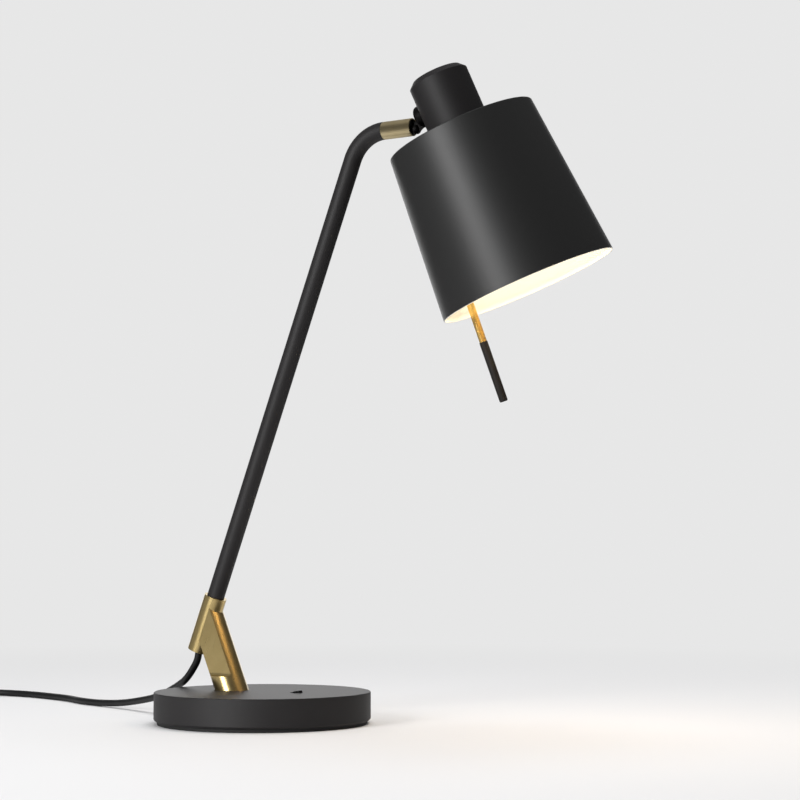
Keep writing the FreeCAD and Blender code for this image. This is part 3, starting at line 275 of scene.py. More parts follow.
def block(name, low, high, place=WORLD):
    """A square block between two corners, used as a cutter or a start."""
    bpy.ops.object.select_all(action="DESELECT")
    middle = [(a + b) / 2 * MM for a, b in zip(low, high)]
    sides = [(b - a) * MM for a, b in zip(low, high)]
    bpy.ops.mesh.primitive_cube_add(size=1, location=middle)
    piece = new_piece(name)
    piece.scale = sides
    bpy.ops.object.transform_apply(location=True, rotation=False, scale=True)
    return lay(piece, place)


def plate(name, corners, depth, place=WORLD):
    """A flat shape in the XZ plane from corners of (x, z), made depth thick along Y."""
    bpy.ops.object.select_all(action="DESELECT")
    bpy.ops.mesh.primitive_circle_add(vertices=len(corners), radius=1)
    piece = new_piece(name)
    for vertex, (x, z) in zip(piece.data.vertices, corners):
        vertex.co = (x * MM, depth / 2 * MM, z * MM)
    bpy.ops.object.mode_set(mode="EDIT")
    bpy.ops.mesh.select_all(action="SELECT")
    bpy.ops.mesh.edge_face_add()
    bpy.ops.mesh.extrude_region_move(TRANSFORM_OT_translate={"value": (0, -depth * MM, 0)})
    bpy.ops.mesh.select_all(action="SELECT")
    bpy.ops.mesh.normals_make_consistent(inside=False)
    bpy.ops.object.mode_set(mode="OBJECT")
    return lay(piece, place)


def combine(piece, tool, operation="DIFFERENCE"):
    """Cuts a tool out of a piece, or joins it on, and removes the tool."""
    modify(piece, "BOOLEAN", object=tool, operation=operation, solver="EXACT")
    bpy.data.objects.remove(tool, do_unlink=True)
    return piece


def halve(piece, point, normal):
    """Cuts a piece off beyond a plane, with the cut closed."""
    active(piece)
    bpy.ops.object.mode_set(mode="EDIT")
    bpy.ops.mesh.select_all(action="SELECT")
    bpy.ops.mesh.bisect(
        plane_co=[value * MM for value in point], plane_no=normal, use_fill=True, clear_outer=True)
    bpy.ops.object.mode_set(mode="OBJECT")
    return piece


def soften(piece, width, steps=3, angle=35):
    """Bevels the edges that are sharper than an angle."""
    return modify(piece, "BEVEL", width=width * MM, segments=steps, limit_method="ANGLE",
                  angle_limit=math.radians(angle), use_clamp_overlap=True, harden_normals=False)


# Finishes

def linear(code):
    """Linear colour from an sRGB hex code."""
    parts = [int(code[k:k + 2], 16) / 255 for k in (1, 3, 5)]
    return [v / 12.92 if v <= 0.04045 else ((v + 0.055) / 1.055) ** 2.4 for v in parts] + [1]


def add(tree, kind, fields=None, values=None, links=None):
    """Adds a shader node with its fields, its socket values and its links."""
    made = tree.nodes.new("ShaderNode" + kind)
    for field, value in (fields or {}).items():
        setattr(made, field, value)
    for socket, value in (values or {}).items():
        made.inputs[socket].default_value = value
    for socket, source in (links or {}).items():
        tree.links.new(source, made.inputs[socket])
    return made


def per_mm(count):
    """The scale of a pattern that has this many features in a millimetre."""
    return count / MM


def start(name):
    """An empty material, and its node tree."""
    made = bpy.data.materials.new(name)
    made.use_nodes = True
    made.node_tree.nodes.clear()
    return made, made.node_tree


def along(tree, place=WORLD, counts=None):
    """Object coordinates turned into a piece's own frame. They are scaled where a pattern
    is given as counts of its features in a millimetre along that frame's axes."""
    where = add(tree, "TexCoord")
    back = place.inverted()
    turned_to = add(tree, "Mapping", links={"Vector": where.outputs["Object"]},
                    values={"Location": back.to_translation(), "Rotation": back.to_euler()})
    stretch = [per_mm(count) for count in counts] if counts else (1, 1, 1)
    return add(tree, "Mapping", values={"Scale": stretch},
               links={"Vector": turned_to.outputs["Vector"]}).outputs["Vector"]


def powder_coat():
    # Charcoal powder coat on steel: dark and satin, with a fine orange peel and a slightly
    # cloudy tone. The peel is about 0.3 mm wide and is drawn at 0.8 mm so that it shows.
    made, tree = start("charcoal_powder_coat")
    place = along(tree)
    peel = add(tree, "TexNoise", values={"Scale": per_mm(1.25), "Detail": 2, "Roughness": 0.5},
               links={"Vector": place})
    cloud = add(tree, "TexNoise", values={"Scale": per_mm(0.06), "Detail": 3},
                links={"Vector": place})
    tone = add(tree, "ValToRGB", links={"Fac": cloud.outputs["Fac"]})
    tone.color_ramp.elements[0].position = 0.3
    tone.color_ramp.elements[0].color = linear("#191718")
    tone.color_ramp.elements[1].position = 0.7
    tone.color_ramp.elements[1].color = linear("#1c1a1b")
    rough = add(tree, "MapRange", values={"To Min": 0.54, "To Max": 0.62},
                links={"Value": peel.outputs["Fac"]})
    bump = add(tree, "Bump", values={"Strength": 0.12, "Distance": 0.00008},
               links={"Height": peel.outputs["Fac"]})
    body = add(tree, "BsdfPrincipled", values={"IOR": 1.42},
               links={"Base Color": tone.outputs["Color"], "Roughness": rough.outputs["Result"],
                      "Normal": bump.outputs["Normal"]})
    add(tree, "OutputMaterial", links={"Surface": body.outputs["BSDF"]})
    return made


def satin_black():
    # Satin black baked enamel on spun aluminium: deep black with a broad soft sheen. Its peel
    # is about 0.3 mm wide and is drawn at 1.1 mm so that it shows.
    made, tree = start("satin_black_enamel")
    place = along(tree, HEAD)
    peel = add(tree, "TexNoise", values={"Scale": per_mm(0.9), "Detail": 2},
               links={"Vector": place})
    rough = add(tree, "MapRange", values={"To Min": 0.44, "To Max": 0.5},
                links={"Value": peel.outputs["Fac"]})
    bump = add(tree, "Bump", values={"Strength": 0.06, "Distance": 0.00006},
               links={"Height": peel.outputs["Fac"]})
    tone = add(tree, "ValToRGB", links={"Fac": peel.outputs["Fac"]})
    tone.color_ramp.elements[0].color = linear("#191919")
    tone.color_ramp.elements[1].color = linear("#1c1c1c")
    body = add(tree, "BsdfPrincipled", values={"IOR": 1.5},
               links={"Base Color": tone.outputs["Color"], "Roughness": rough.outputs["Result"],
                      "Normal": bump.outputs["Normal"]})
    add(tree, "OutputMaterial", links={"Surface": body.outputs["BSDF"]})
    return made


def white_enamel():
    # White gloss enamel inside the shade, which throws the bulb's light down. Its peel is
    # about 0.5 mm wide and is drawn at 1.4 mm so that it shows.
    made, tree = start("white_enamel")
    place = along(tree, HEAD)
    peel = add(tree, "TexNoise", values={"Scale": per_mm(0.7), "Detail": 2},
               links={"Vector": place})
    tone = add(tree, "ValToRGB", links={"Fac": peel.outputs["Fac"]})
    tone.color_ramp.elements[0].color = linear("#f2f0e8")
    tone.color_ramp.elements[1].color = linear("#f7f5ee")
    rough = add(tree, "MapRange", values={"To Min": 0.26, "To Max": 0.34},
                links={"Value": peel.outputs["Fac"]})
    body = add(tree, "BsdfPrincipled", values={"IOR": 1.5},
               links={"Base Color": tone.outputs["Color"], "Roughness": rough.outputs["Result"]})
    add(tree, "OutputMaterial", links={"Surface": body.outputs["BSDF"]})
    return made


def satin_brass(name, place, counts, low, high, rough_low, rough_high):
    # Satin brass, brushed or turned and then lacquered: a soft golden gleam along fine
    # lines, and a slightly uneven tone. The lines are about 0.1 mm apart and are drawn
    # wider so that they show.
    made, tree = start(name)
    lines = add(tree, "TexNoise", values={"Scale": 1, "Detail": 3, "Roughness": 0.6},
                links={"Vector": along(tree, place, counts)})
    cloud = add(tree, "TexNoise", values={"Scale": per_mm(0.12), "Detail": 2},
                links={"Vector": along(tree, place)})
    tone = add(tree, "ValToRGB", links={"Fac": cloud.outputs["Fac"]})
    tone.color_ramp.elements[0].position = 0.3
    tone.color_ramp.elements[0].color = linear(low)
    tone.color_ramp.elements[1].position = 0.7
    tone.color_ramp.elements[1].color = linear(high)
    rough = add(tree, "MapRange", values={"To Min": rough_low, "To Max": rough_high},
                links={"Value": lines.outputs["Fac"]})
    bump = add(tree, "Bump", values={"Strength": 0.05, "Distance": 0.00003},
               links={"Height": lines.outputs["Fac"]})
    body = add(tree, "BsdfPrincipled", values={"Metallic": 1},
               links={"Base Color": tone.outputs["Color"], "Roughness": rough.outputs["Result"],
                      "Normal": bump.outputs["Normal"]})
    add(tree, "OutputMaterial", links={"Surface": body.outputs["BSDF"]})
    return made


def plain_metal(name, colour, rough, grain=1.5):
    # Bright or dark metal of screws, pins and weights, with a fine turned or plated grain.
    # The grain is under 0.2 mm wide, and on cast iron under 1 mm, and is drawn wider so that
    # it shows.
    made, tree = start(name)
    noise = add(tree, "TexNoise", values={"Scale": per_mm(grain), "Detail": 3},
                links={"Vector": along(tree)})
    spread = add(tree, "MapRange", values={"To Min": rough - 0.05, "To Max": rough + 0.08},
                 links={"Value": noise.outputs["Fac"]})
    bump = add(tree, "Bump", values={"Strength": 0.1, "Distance": 0.00004},
               links={"Height": noise.outputs["Fac"]})
    body = add(tree, "BsdfPrincipled", values={"Metallic": 1, "Base Color": linear(colour)},
               links={"Roughness": spread.outputs["Result"], "Normal": bump.outputs["Normal"]})
    add(tree, "OutputMaterial", links={"Surface": body.outputs["BSDF"]})
    return made


def moulding(name, colour, rough, grain=0.9, depth=0.06, ior=1.5):
    # Moulded plastic or rubber: one colour with a fine spark-eroded texture, which is about
    # 0.1 mm wide and is drawn wider so that it shows
    made, tree = start(name)
    noise = add(tree, "TexNoise", values={"Scale": per_mm(grain), "Detail": 2},
                links={"Vector": along(tree)})
    spread = add(tree, "MapRange", values={"To Min": rough - 0.04, "To Max": rough + 0.06},
                 links={"Value": noise.outputs["Fac"]})
    bump = add(tree, "Bump", values={"Strength": depth, "Distance": 0.0001},
               links={"Height": noise.outputs["Fac"]})
    body = add(tree, "BsdfPrincipled", values={"Base Color": linear(colour), "IOR": ior},
               links={"Roughness": spread.outputs["Result"], "Normal": bump.outputs["Normal"]})
    add(tree, "OutputMaterial", links={"Surface": body.outputs["BSDF"]})
    return made


def smoked_oak():
    # Smoked and oiled oak, turned: nearly black brown, with grain lines along the grip. Its
    # pores are about 0.2 mm wide and are drawn at 0.4 mm so that they show.
    made, tree = start("smoked_oak")
    grain = add(tree, "TexNoise", values={"Scale": 1, "Detail": 5, "Roughness": 0.65},
                links={"Vector": along(tree, ROD, (1.4, 1.4, 0.07))})
    pores = add(tree, "TexNoise", values={"Scale": 1, "Detail": 2},
                links={"Vector": along(tree, ROD, (2.6, 2.6, 0.26))})
    tone = add(tree, "ValToRGB", links={"Fac": grain.outputs["Fac"]})
    tone.color_ramp.elements[0].position = 0.35
    tone.color_ramp.elements[0].color = linear("#0c0908")
    tone.color_ramp.elements[1].position = 0.65
    tone.color_ramp.elements[1].color = linear("#15100d")
    bump = add(tree, "Bump", values={"Strength": 0.3, "Distance": 0.0001},
               links={"Height": pores.outputs["Fac"]})
    rough = add(tree, "MapRange", values={"To Min": 0.6, "To Max": 0.75},
                links={"Value": grain.outputs["Fac"]})
    body = add(tree, "BsdfPrincipled", values={"IOR": 1.4},
               links={"Base Color": tone.outputs["Color"], "Roughness": rough.outputs["Result"],
                      "Normal": bump.outputs["Normal"]})
    add(tree, "OutputMaterial", links={"Surface": body.outputs["BSDF"]})
    return made


def opal_glass():
    # Opal glass of a lit bulb, blown and coated inside: warm white, and slightly cloudy
    made, tree = start("opal_glass")
    cloud = add(tree, "TexNoise", values={"Scale": per_mm(0.04), "Detail": 1},
                links={"Vector": along(tree, HEAD)})
    tone = add(tree, "ValToRGB", links={"Fac": cloud.outputs["Fac"]})
    tone.color_ramp.elements[0].color = linear("#fff0cf")
    tone.color_ramp.elements[1].color = linear("#fff3d8")
    body = add(tree, "BsdfPrincipled", values={"Base Color": linear("#f4f1ea"), "Roughness": 0.2,
                                               "Emission Strength": 4.2},
               links={"Emission Color": tone.outputs["Color"]})
    add(tree, "OutputMaterial", links={"Surface": body.outputs["BSDF"]})
    return made


coat = powder_coat()
enamel_black = satin_black()
enamel_white = white_enamel()
brass_bracket = satin_brass(
    "satin_brass_bracket", SLEEVE, (1.4, 1.4, 0.06), "#b49f6c", "#bba674", 0.25, 0.32)
brass_ferrule = satin_brass(
    "satin_brass_turned", FERRULE, (0.2, 0.2, 2.5), "#c3b28a", "#cbbb94", 0.36, 0.42)
# The grip rod's and spacers' brass is paler and brighter than the bracket's. This is partly their
# own polished finish and partly painted light, which stands in for the bulb's light falling on them
# inside the shade.
brass_rod_painted_light = satin_brass(
    "polished_brass_rod_painted_light", ROD, (0.3, 0.3, 2.5), "#dfb865", "#e6c070", 0.18, 0.26)
black_steel = plain_metal("blackened_steel", "#1c1b1b", 0.42)
zinc_steel = plain_metal("zinc_plated_steel", "#b9bab8", 0.3)
nickel = plain_metal("nickel_plated_brass", "#cfcac0", 0.2)
aluminium = plain_metal("drawn_aluminium", "#d5d6d8", 0.28)
iron = plain_metal("cast_iron", "#4b4a49", 0.62, 0.5)
phenolic = moulding("black_phenolic", "#1f1d1c", 0.38)
nylon = moulding("black_nylon", "#1d1d1e", 0.5)
abs_gloss = moulding("black_gloss_abs", "#0e0e0f", 0.18, 1.4, 0.02)
cord_vinyl = moulding("black_cord_vinyl", "#0b0b0c", 0.5, 1.1, 0.1, 1.38)
plug_vinyl = moulding("black_plug_vinyl", "#18181a", 0.42, 0.8, 0.12)
pad_rubber = moulding("black_rubber", "#161616", 0.75, 1.2, 0.25)
oak = smoked_oak()
opal = opal_glass()


def dress(piece, body, *finishes):
    """Gives a piece its finishes and the body it rides on."""
    piece.data.materials.clear()
    for finish in finishes:
        piece.data.materials.append(finish)
    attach(piece, body)
    return piece


# Base

base_cover = turned("base_cover", [
    (78, 21.6), (78, 2.4), (78.5, 2.4), (80, 3.9, 0.6), (80, 23.6, 0.8), (40, 23.6),
], steps=256)
OPENING_LENGTH = 8.8
OPENING_WIDTH = 5.4
recess = block("recess", (SWITCH_X - OPENING_LENGTH / 2, -OPENING_WIDTH / 2, 10),
               (SWITCH_X + OPENING_LENGTH / 2, OPENING_WIDTH / 2, 30))
soften(recess, 0.5)
combine(base_cover, recess)
smooth(base_cover)
dress(base_cover, "stand", coat)
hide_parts("base_shell")

base_pad = turned("base_pad", [
    (60, 2.4), (77.5, 2.4, 0.3), (77.5, 0, 0.4), (70, 0), (69.6, 0.5), (68.4, 0.5), (68, 0),
    (60, 0), (59.6, 0.5), (58.4, 0.5), (58, 0), (40, 0), (39.6, 0.5), (38.4, 0.5), (38, 0), (20, 0),
], steps=192)
dress(base_pad, "stand", pad_rubber)
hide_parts("foot_pad")


# Bracket

STRUT_RADIUS = 12
STRUT_LENGTH = 95
ACROSS_FLATS = 16
LEDGE_HEIGHT = 34
LEDGE_ROUND = 2.6
SLEEVE_RADIUS = 8.5
SLEEVE_LENGTH = 43.55
TUBE_BORE_RADIUS = 6.55
CORD_BORE_RADIUS = 4.6
CORD_BORE_TOP = 18.55
SCREW_BORE_RADIUS = 2.05
SCREW_HEIGHT = 35.55


def flat_outline():
    """What is milled off one side of the strut, with the ledge rounded into the flat."""
    flat = ACROSS_FLATS / 2
    past_side = 17
    past_top = 140
    return [(past_side, past_top), (flat, past_top),
            *arc(flat + LEDGE_ROUND, LEDGE_HEIGHT + LEDGE_ROUND, LEDGE_ROUND, 180, 270, 6),
            (past_side, LEDGE_HEIGHT)]


def bracket_piece():
    """The strut, milled flat on both sides down to a rounded ledge, and the leaning sleeve."""
    strut = frame_at(*STRUT_FOOT, "Y", STRUT_LEAN)
    piece = rod("brass_bracket", STRUT_RADIUS, -10, STRUT_LENGTH, strut, 192)
    for side in (1, -1):
        quarter = Matrix.Rotation(math.radians(90 * side), 4, "Z")
        combine(piece, plate("flat", flat_outline(), 140, quarter))
    halve(piece, STRUT_FOOT, (0, 0, -1))
    lean = math.radians(ARM_LEAN)
    halve(piece, SLEEVE_FOOT, (-math.cos(lean), 0, math.sin(lean)))
    combine(piece, rod("sleeve", SLEEVE_RADIUS, 0, SLEEVE_LENGTH, SLEEVE, 192), "UNION")
    combine(piece, rod("tube_bore", TUBE_BORE_RADIUS, TUBE_SEAT, 60, SLEEVE))
    combine(piece, rod("cord_bore", CORD_BORE_RADIUS, -10, CORD_BORE_TOP, SLEEVE))
    screw = SLEEVE @ frame_at(0, 0, SCREW_HEIGHT, "Y", -90)
    combine(piece, rod("screw_bore", SCREW_BORE_RADIUS, 0, 14, screw, 48))
    return piece


bracket = bracket_piece()
soften(bracket, 0.2, 2, 30)
smooth(bracket, 30)
dress(bracket, "stand", brass_bracket)
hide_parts("bracket")


# Arm

def arm_piece():
    """A round tube pushed up the lean, then spun round its bend to level."""
    straight = 372.67 * MM
    bend_radius = 29.15 * MM
    bpy.ops.object.select_all(action="DESELECT")
    bpy.ops.mesh.primitive_circle_add(vertices=96, radius=TUBE_RADIUS * MM)
    piece = new_piece("arm_pipe")
    bpy.ops.object.mode_set(mode="EDIT")
    bpy.ops.mesh.select_all(action="SELECT")
    bpy.ops.mesh.extrude_region_move(TRANSFORM_OT_translate={"value": (0, 0, straight)})
    bpy.ops.mesh.spin(steps=28, angle=math.radians(90 - ARM_LEAN),
                      center=(bend_radius, 0, straight), axis=(0, -1, 0))
    bpy.ops.mesh.select_all(action="SELECT")
    bpy.ops.mesh.remove_doubles(threshold=WELD)
    bpy.ops.mesh.normals_make_consistent(inside=False)
    bpy.ops.object.mode_set(mode="OBJECT")
    modify(piece, "SOLIDIFY", thickness=1 * MM, offset=-1)
    smooth(piece)
    return lay(piece, SLEEVE @ frame_at(0, 0, TUBE_SEAT))


arm = arm_piece()
dress(arm, "stand", coat)
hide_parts("arm_tube")

ferrule = turned("brass_ferrule", [
    (4, -6), (4.7, -6), (4.7, 0), (TUBE_RADIUS, 0, 0.2), (TUBE_RADIUS, FERRULE_LENGTH, 0.5),
    (5.5, FERRULE_LENGTH, 0.25), (5.5, 10), (3.26, 10), (3.26, 7), (4, 7),
], FERRULE, ring=True, steps=96)
dress(ferrule, "stand", brass_ferrule)
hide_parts("ferrule")


# Swivel and tilt joint

BALL_RADIUS = 3.9
FORK_SLOT = 3.4
PIN_HOLE_RADIUS = 1.28
WEB_SLOT = 2.9


def knuckle_piece():
    """A barrel in the ferrule with a slotted ball in front of it."""
    piece = turned("swivel_fork", [
        (2.3, -0.3), (2.3, -20.5), (3.2, -20.5, 0.2), (3.2, -13.5), (5.44, -13.5, 0.3),
        (5.44, -0.3, 0.4),
    ], SWIVEL @ frame_at(0, 0, 0, "Y", 90), ring=True, steps=96)
    ball = turned("ball", arc(0, 0, BALL_RADIUS, -88, 88, 32), TILT_PIN, steps=64)
    combine(piece, ball, "UNION")
    combine(piece, block("slot", (-1.85, -FORK_SLOT / 2, -14), (13, FORK_SLOT / 2, 14), SWIVEL))
    combine(piece, rod("pin_hole", PIN_HOLE_RADIUS, -6, 6, TILT_PIN, 48))
    return piece


fork = knuckle_piece()
soften(fork, 0.25, 3, 40)
smooth(fork)
dress(fork, "swivel", black_steel)
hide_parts("swivel_knuckle")

tilt_pin = turned("tilt_pin_head", [
    (0.6, -3.5), (1.25, -3.5, 0.25), (1.25, 3.5, 0.25), (0.6, 3.5),
], TILT_PIN, steps=48)
dress(tilt_pin, "swivel", black_steel)
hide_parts("tilt_pin")


def lug_piece():
    """A domed collar with a seat for the cap, and a slot for the eye's web."""
    piece = turned("hinge_collar", [
        (3.95, 5.7), (8.2, 5.7, 2.2), (8.2, 22), (3.95, 22),
    ], TILT @ frame_at(0, 0, 6, "Y", 90), ring=True, steps=96)
    seat = TILT @ frame_at(PIN_TO_AXIS, 0, 6)
    combine(piece, rod("seat", CAP_RADIUS + 0.05, -30, 30, seat))
    web = [(0, -3.35), (9.25, -0.65), (9.25, 7.65), (0, 3.35)]
    combine(piece, plate("web_slot", web, WEB_SLOT, TILT))
    return piece


collar = lug_piece()
soften(collar, 0.25, 2, 40)
smooth(collar)
dress(collar, "head", black_steel)
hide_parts("hinge_lug")


# Cap, shade and grip rod

cap = turned("holder_cap", [
    (CAP_RADIUS - 1.6, 0), (CAP_RADIUS, 0, 0.3), (CAP_RADIUS, 40.6, 0.5),
    (CAP_RADIUS - 4.1, 44.6, 0.7), (8, 44.6),
], HEAD, steps=192)
dress(cap, "head", coat)
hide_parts("cap")

shade = turned("spun_shade", [
    (18.15, 0), (54.73, 0, 0.9), (64.95, -121.07, 0.4), (63.95, -121.07, 0.4),
    (53.73, -1, 1), (18.15, -1),
], HEAD, ring=True, steps=256)


def line_shade():
    """Black outside, white inside: a face is inside when it looks to the axis or down.
    The limits are well off zero, so that the flat top stays black."""
    back = HEAD.inverted()
    turn_back = back.to_3x3()
    for face in shade.data.polygons:
        middle = back @ face.center
        looks = turn_back @ face.normal
        inward = looks.x * middle.x + looks.y * middle.y < -0.01
        face.material_index = 1 if inward or looks.z < -0.3 else 0


dress(shade, "head", enamel_black, enamel_white)
line_shade()
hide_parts("shade")

grip_rod = turned("brass_grip_rod", [
    (1.8, -24), (2.75, -24, 0.5), (2.75, -143.4, 0.15), (1.6, -143.4), (1.6, -163.4),
], ROD, steps=64)
dress(grip_rod, "head", brass_rod_painted_light)
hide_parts("handle_rod")

grip = turned("oak_grip", [
    (1.65, -143.4), (3.05, -143.4, 0.25), (3.05, -188.9, 1), (1, -188.9),
], ROD, steps=64)
dress(grip, "head", oak)
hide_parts("handle_grip")

for word, drop in (("upper", 48), ("lower", 98)):
    place = ROD @ frame_at(0, 0, -drop, "Y", -90)
    spacer = turned(word + "_rod_spacer", [
        (1.6, 2.2), (3.5, 2.2), (3.5, 14.33, 0.3), (1.6, 14.33),
    ], place, ring=True, steps=64)
    dress(spacer, "head", brass_rod_painted_light)
    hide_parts(word + "_spacer")
    screw = turned(word + "_rod_screw", [
        (1.2, -1.35), (1.45, -1.35), (1.45, 15.83), (2.9, 15.83, 0.15), (2.9, 17.33, 0.9),
        (1.3, 17.33), (1.3, 16.5), (0.3, 16.5),
    ], place, steps=48)
    dress(screw, "head", black_steel)
    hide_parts(word + "_spacer_screw")


# Lampholder and bulb

def ribbed(radius, low, high, pitch, depth):
    """Outline points of a run of rounded ribs, from the low to the high end."""
    points = []
    per_rib = 6
    steps = round((high - low) / pitch) * per_rib
    for k in range(steps + 1):
        swell = math.cos(math.tau * k / per_rib)
        points.append((radius - depth / 2 + depth / 2 * swell, low + (high - low) * k / steps))
    return points


holder = turned("lampholder_body", [
    (13.6, 11.7), (13.6, -14, 0.4), (17.6, -14, 0.5), *ribbed(18, -12.5, -5.5, 2.3, 0.7),
    (18, -5), (18, 0), (20.2, 0), (20.2, 6, 0.4), (18, 6), (18, 12, 0.5), (15.5, 12),
    (15.5, 36, 1), (4, 36), (4, 11.7),
], HEAD, ring=True, steps=96)
dress(holder, "head", phenolic)
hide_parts("lampholder")

ring = turned("shade_clamp_ring", [
    (18.05, -5), (21.5, -5, 0.6), (21.5, -1, 0.3), (18.05, -1),
], HEAD, ring=True, steps=96)
dress(ring, "head", phenolic)
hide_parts("shade_ring")

bulb = turned("bulb_glass_ball", [
    (12.6, -14.5), (13.2, -15.2), (13.2, -29.5, 8), *arc(0, -65, 30, 32, -88, 24),
], HEAD, steps=96)
dress(bulb, "head", opal)
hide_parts("bulb_glass")

bulb_cap = turned("bulb_screw_cap", [
    (2, 10.5), (4.5, 10.5), (12.4, 7.3), *reversed(ribbed(13.2, -12.5, 6.5, 3.6, 0.9)),
    (13.2, -14.5), (12.6, -14.5),
], HEAD, steps=96)
dress(bulb_cap, "head", aluminium)
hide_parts("bulb_cap")


# Rocker

rocker = plate("switch_rocker", [
    (-3.9, 3.1), (-3.4, -0.2), (3.4, 0.3), (3.9, 3.1), (3.65, 4.8), (-0.5, 3.95),
], 4.4, ROCKER)
soften(rocker, 0.25, 3)
smooth(rocker)
dress(rocker, "switch_rocker", abs_gloss)
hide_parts("rocker")


# Cord, tie and plug

dress(cord, "stand", cord_vinyl)
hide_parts("cord", "cord_coil", "cord_tail")

BUNDLE = frame_at(COIL_X, COIL_Y, 0)
STRAP_WIDTH = 8
STRAP_WALL = 0.8


def strap_outline(inset):
    """The strap's outer outline round the coil's bundle, or one that is inset from it."""
    near, far, low, high = 16.0 + inset, 42.8 - inset, 0.05 + inset, 13.5 - inset
    return [(near, low), (far, low), (far, high), (near, high)]


tie = plate("cord_strap", strap_outline(0), STRAP_WIDTH, BUNDLE)
combine(tie, plate("strap_inside", strap_outline(STRAP_WALL), 20, BUNDLE))
soften(tie, 0.35, 3)
smooth(tie)
dress(tie, "stand", nylon)
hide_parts("cord_tie")

PLUG = frame_at(*PLUG_END) @ Matrix.Rotation(math.atan2(-10.5, 1.6), 4, "Z")


def plug_piece():
    """A slim waisted plug: its outline pushed to its thickness, then rounded all over."""
    outline = [(22, -10), (42, -17.65), (56, -17.65), (56, 17.65), (42, 17.65), (22, 10)]
    piece = plate("mains_plug", outline, 13.7, PLUG @ Matrix.Rotation(math.radians(90), 4, "X"))
    soften(piece, 2.5, 5)
    relief = turned("plug_relief", [
        (3.2, 0), (3.3, 2, 0.2), (3.0, 3), (3.4, 4), (3.55, 6), (3.1, 7), (3.6, 8), (3.8, 10),
        (3.3, 11), (3.8, 12), (4.0, 14), (3.5, 15), (4.0, 16), (4.2, 20), (4.4, 27),
    ], PLUG @ Matrix.Rotation(math.radians(90), 4, "Y"), steps=48)
    combine(piece, relief, "UNION")
    return piece


plug = plug_piece()
smooth(plug)
dress(plug, "stand", plug_vinyl)
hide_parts("plug_body")

PIN_SPACING = 18.6
for word, side in (("near", -PIN_SPACING / 2), ("far", PIN_SPACING / 2)):
    pin = turned(word + "_plug_pin", [
        (1.5, 56), (2, 56), (2, 73), (1.7, 74.2), (1, 75),
    ], PLUG @ frame_at(0, side, 0, "Y", 90), steps=48)
    dress(pin, "stand", nickel)
    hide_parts("plug_pin_" + word)


# Finishes of the nodes that stay as they are

KEPT = {
    "base_weight": iron,
    "foot_nipple": zinc_steel,
    "foot_washer": zinc_steel,
    "foot_nut": zinc_steel,
    "sleeve_screw": black_steel,
    "cord_bush": nylon,
    "arm_lead": cord_vinyl,
    "swivel_clip": zinc_steel,
    "hinge_eye": black_steel,
    "lug_nut": zinc_steel,
    "cap_screw": black_steel,
    "holder_contact": nickel,
    "switch_body": phenolic,
    "rocker_pin": zinc_steel,
}
for node_name, finish in KEPT.items():
    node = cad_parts[node_name]
    node.data.materials.clear()
    node.data.materials.append(finish)


# Floor, world and lights

BACKDROP = (-0.571, 0.816, 0.08)  # towards the backdrop behind the lamp
LEFT_WALL = (-0.906, -0.423, 0)  # towards the room's left side
MOUTH_DROP = 0.118  # from the head's origin down to just inside the shade's mouth
MOUTH_WIDTH = 0.11


def studio_floor():
    """A pale table that fades into the backdrop far from the lamp, and into a darker room
    for what gloss and metal see."""
    bpy.ops.object.select_all(action="DESELECT")
    bpy.ops.mesh.primitive_circle_add(vertices=96, radius=9, fill_type="NGON")
    floor = new_piece("studio_floor")
    made, tree = start("pale_table")
    where = add(tree, "TexCoord")
    away = add(tree, "VectorMath", {"operation": "LENGTH"},
               links={"Vector": where.outputs["Object"]})
    far = add(tree, "MapRange", {"interpolation_type": "SMOOTHSTEP"},
              values={"From Min": 0.2, "From Max": 1.3, "To Min": 0, "To Max": 1},
              links={"Value": away.outputs["Value"]})
    path = add(tree, "LightPath")
    seen = add(tree, "Math", {"operation": "MAXIMUM"},
               links={0: path.outputs["Is Camera Ray"], 1: path.outputs["Is Transmission Ray"]})
    level = add(tree, "Mix", {"data_type": "FLOAT"}, values={2: 0.18, 3: 1},
                links={0: seen.outputs["Value"]})
    table = add(tree, "BsdfDiffuse", values={"Color": linear("#e4e4e5")})
    back = add(tree, "Emission", values={"Color": linear("#e7e7e7")},
               links={"Strength": level.outputs[0]})
    mixed = add(tree, "MixShader", links={0: far.outputs["Result"], 1: table.outputs["BSDF"],
                                          2: back.outputs["Emission"]})
    add(tree, "OutputMaterial", links={"Surface": mixed.outputs["Shader"]})
    floor.data.materials.append(made)


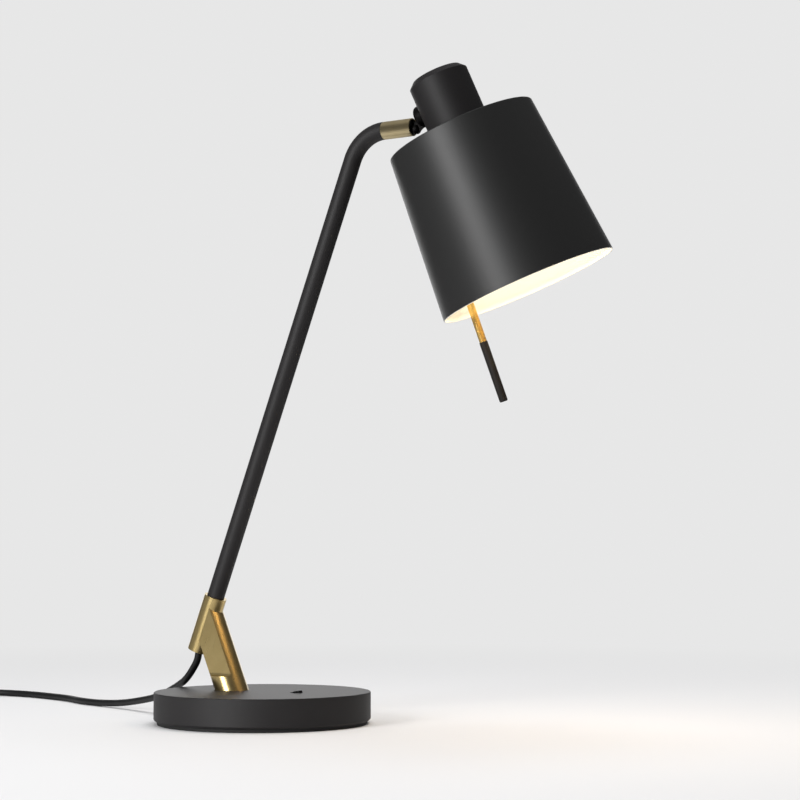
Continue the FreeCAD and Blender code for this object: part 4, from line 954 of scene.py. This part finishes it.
def studio_world():
    """A pale backdrop for what the camera sees. For what gloss and metal see, a bright
    backdrop behind the lamp, a grey ceiling and left wall, and a dark room. For the light
    on matt things, a room that is lighter behind the lamp than in front."""
    world = bpy.data.worlds.new("studio")
    world.use_nodes = True
    tree = world.node_tree
    tree.nodes.clear()
    path = add(tree, "LightPath")
    seen = add(tree, "Math", {"operation": "MAXIMUM"},
               links={0: path.outputs["Is Camera Ray"], 1: path.outputs["Is Transmission Ray"]})
    where = add(tree, "TexCoord")
    behind = add(tree, "VectorMath", {"operation": "DOT_PRODUCT"}, values={1: BACKDROP},
                 links={0: where.outputs["Generated"]})
    room = add(tree, "MapRange", {"interpolation_type": "SMOOTHSTEP"},
               values={"From Min": -0.5, "From Max": 0.5, "To Min": 0.2, "To Max": 0.62},
               links={"Value": behind.outputs["Value"]})
    mirrored = add(tree, "MapRange", {"interpolation_type": "SMOOTHSTEP"},
                   values={"From Min": 0.82, "From Max": 0.99, "To Min": 0.1, "To Max": 2.6},
                   links={"Value": behind.outputs["Value"]})
    above = add(tree, "SeparateXYZ", links={"Vector": where.outputs["Generated"]})
    ceiling = add(tree, "MapRange", {"interpolation_type": "SMOOTHSTEP"},
                  values={"From Min": 0.45, "From Max": 0.85, "To Min": 0, "To Max": 0.34},
                  links={"Value": above.outputs["Z"]})
    left = add(tree, "VectorMath", {"operation": "DOT_PRODUCT"}, values={1: LEFT_WALL},
               links={0: where.outputs["Generated"]})
    wall = add(tree, "MapRange", {"interpolation_type": "SMOOTHSTEP"},
               values={"From Min": 0.8, "From Max": 0.97, "To Min": 0, "To Max": 0.3},
               links={"Value": left.outputs["Value"]})
    sides = add(tree, "Math", {"operation": "ADD"},
                links={0: ceiling.outputs["Result"], 1: wall.outputs["Result"]})
    reflected = add(tree, "Math", {"operation": "ADD"},
                    links={0: mirrored.outputs["Result"], 1: sides.outputs["Value"]})
    indoors = add(tree, "Mix", {"data_type": "FLOAT"},
                  links={0: path.outputs["Is Glossy Ray"], 2: room.outputs["Result"],
                         3: reflected.outputs["Value"]})
    level = add(tree, "Mix", {"data_type": "FLOAT"}, values={3: 0.8},
                links={0: seen.outputs["Value"], 2: indoors.outputs[0]})
    light = add(tree, "Background", values={"Color": linear("#ffffff")},
                links={"Strength": level.outputs[0]})
    add(tree, "OutputWorld", links={"Surface": light.outputs["Background"]})
    bpy.context.scene.world = world


def softbox(name, place, aim, width, height, power, colour="#ffffff"):
    """A soft area lamp at a place, turned to shine at another."""
    data = bpy.data.lights.new(name, "AREA")
    data.shape = "RECTANGLE"
    data.size = width
    data.size_y = height
    data.energy = power
    data.color = linear(colour)[:3]
    light = bpy.data.objects.new(name, data)
    light.location = place
    light.rotation_euler = (Vector(aim) - Vector(place)).to_track_quat("-Z", "Y").to_euler()
    bpy.context.scene.collection.objects.link(light)
    return light


def lit_mouth(name, power, colour):
    """A round lamp in the shade's mouth that shines out along the shade's axis."""
    light = softbox(name, HEAD @ Vector((0, 0, -MOUTH_DROP)), HEAD @ Vector((0, 0, -1)),
                    MOUTH_WIDTH, MOUTH_WIDTH, power, colour)
    light.data.shape = "DISK"
    light.visible_camera = False
    return light


def group(name, *pieces):
    """A collection of pieces, for the lamps that only some pieces take part in."""
    made = bpy.data.collections.new(name)
    for piece in pieces:
        made.objects.link(piece)
    return made


studio_floor()
studio_world()
key = softbox("key_softbox", (-0.29, -2.17, 0.65), (0.08, 0, 0.3), 0.75, 1.2, 42)
overhead = softbox("overhead_softbox", (0.2, 0.35, 2.4), (0, 0, 0.2), 1.6, 1.6, 33)
overhead.visible_glossy = False

# The bulb is drawn weaker than a real one, so that the shade's inside keeps its shading.
# One lamp in the shade's mouth gives the pool of light on the table, and another the warm
# reflection in the brass.
pool = lit_mouth("lit_mouth_pool", 0.24, "#ffdcb4")
pool.visible_glossy = False
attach(pool, "head")
glow = lit_mouth("lit_mouth_glow", 1.5, "#ffd59c")
glow.visible_diffuse = False
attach(glow, "head")
glow.light_linking.receiver_collection = group("brass_pieces", bracket, grip_rod, ferrule)

# The key softbox isn't mirrored in the ferrule, which lies level and has a dark middle
out_of_key = group("out_of_key", ferrule)
out_of_key.collection_objects[0].light_linking.link_state = "EXCLUDE"
key.light_linking.receiver_collection = out_of_key
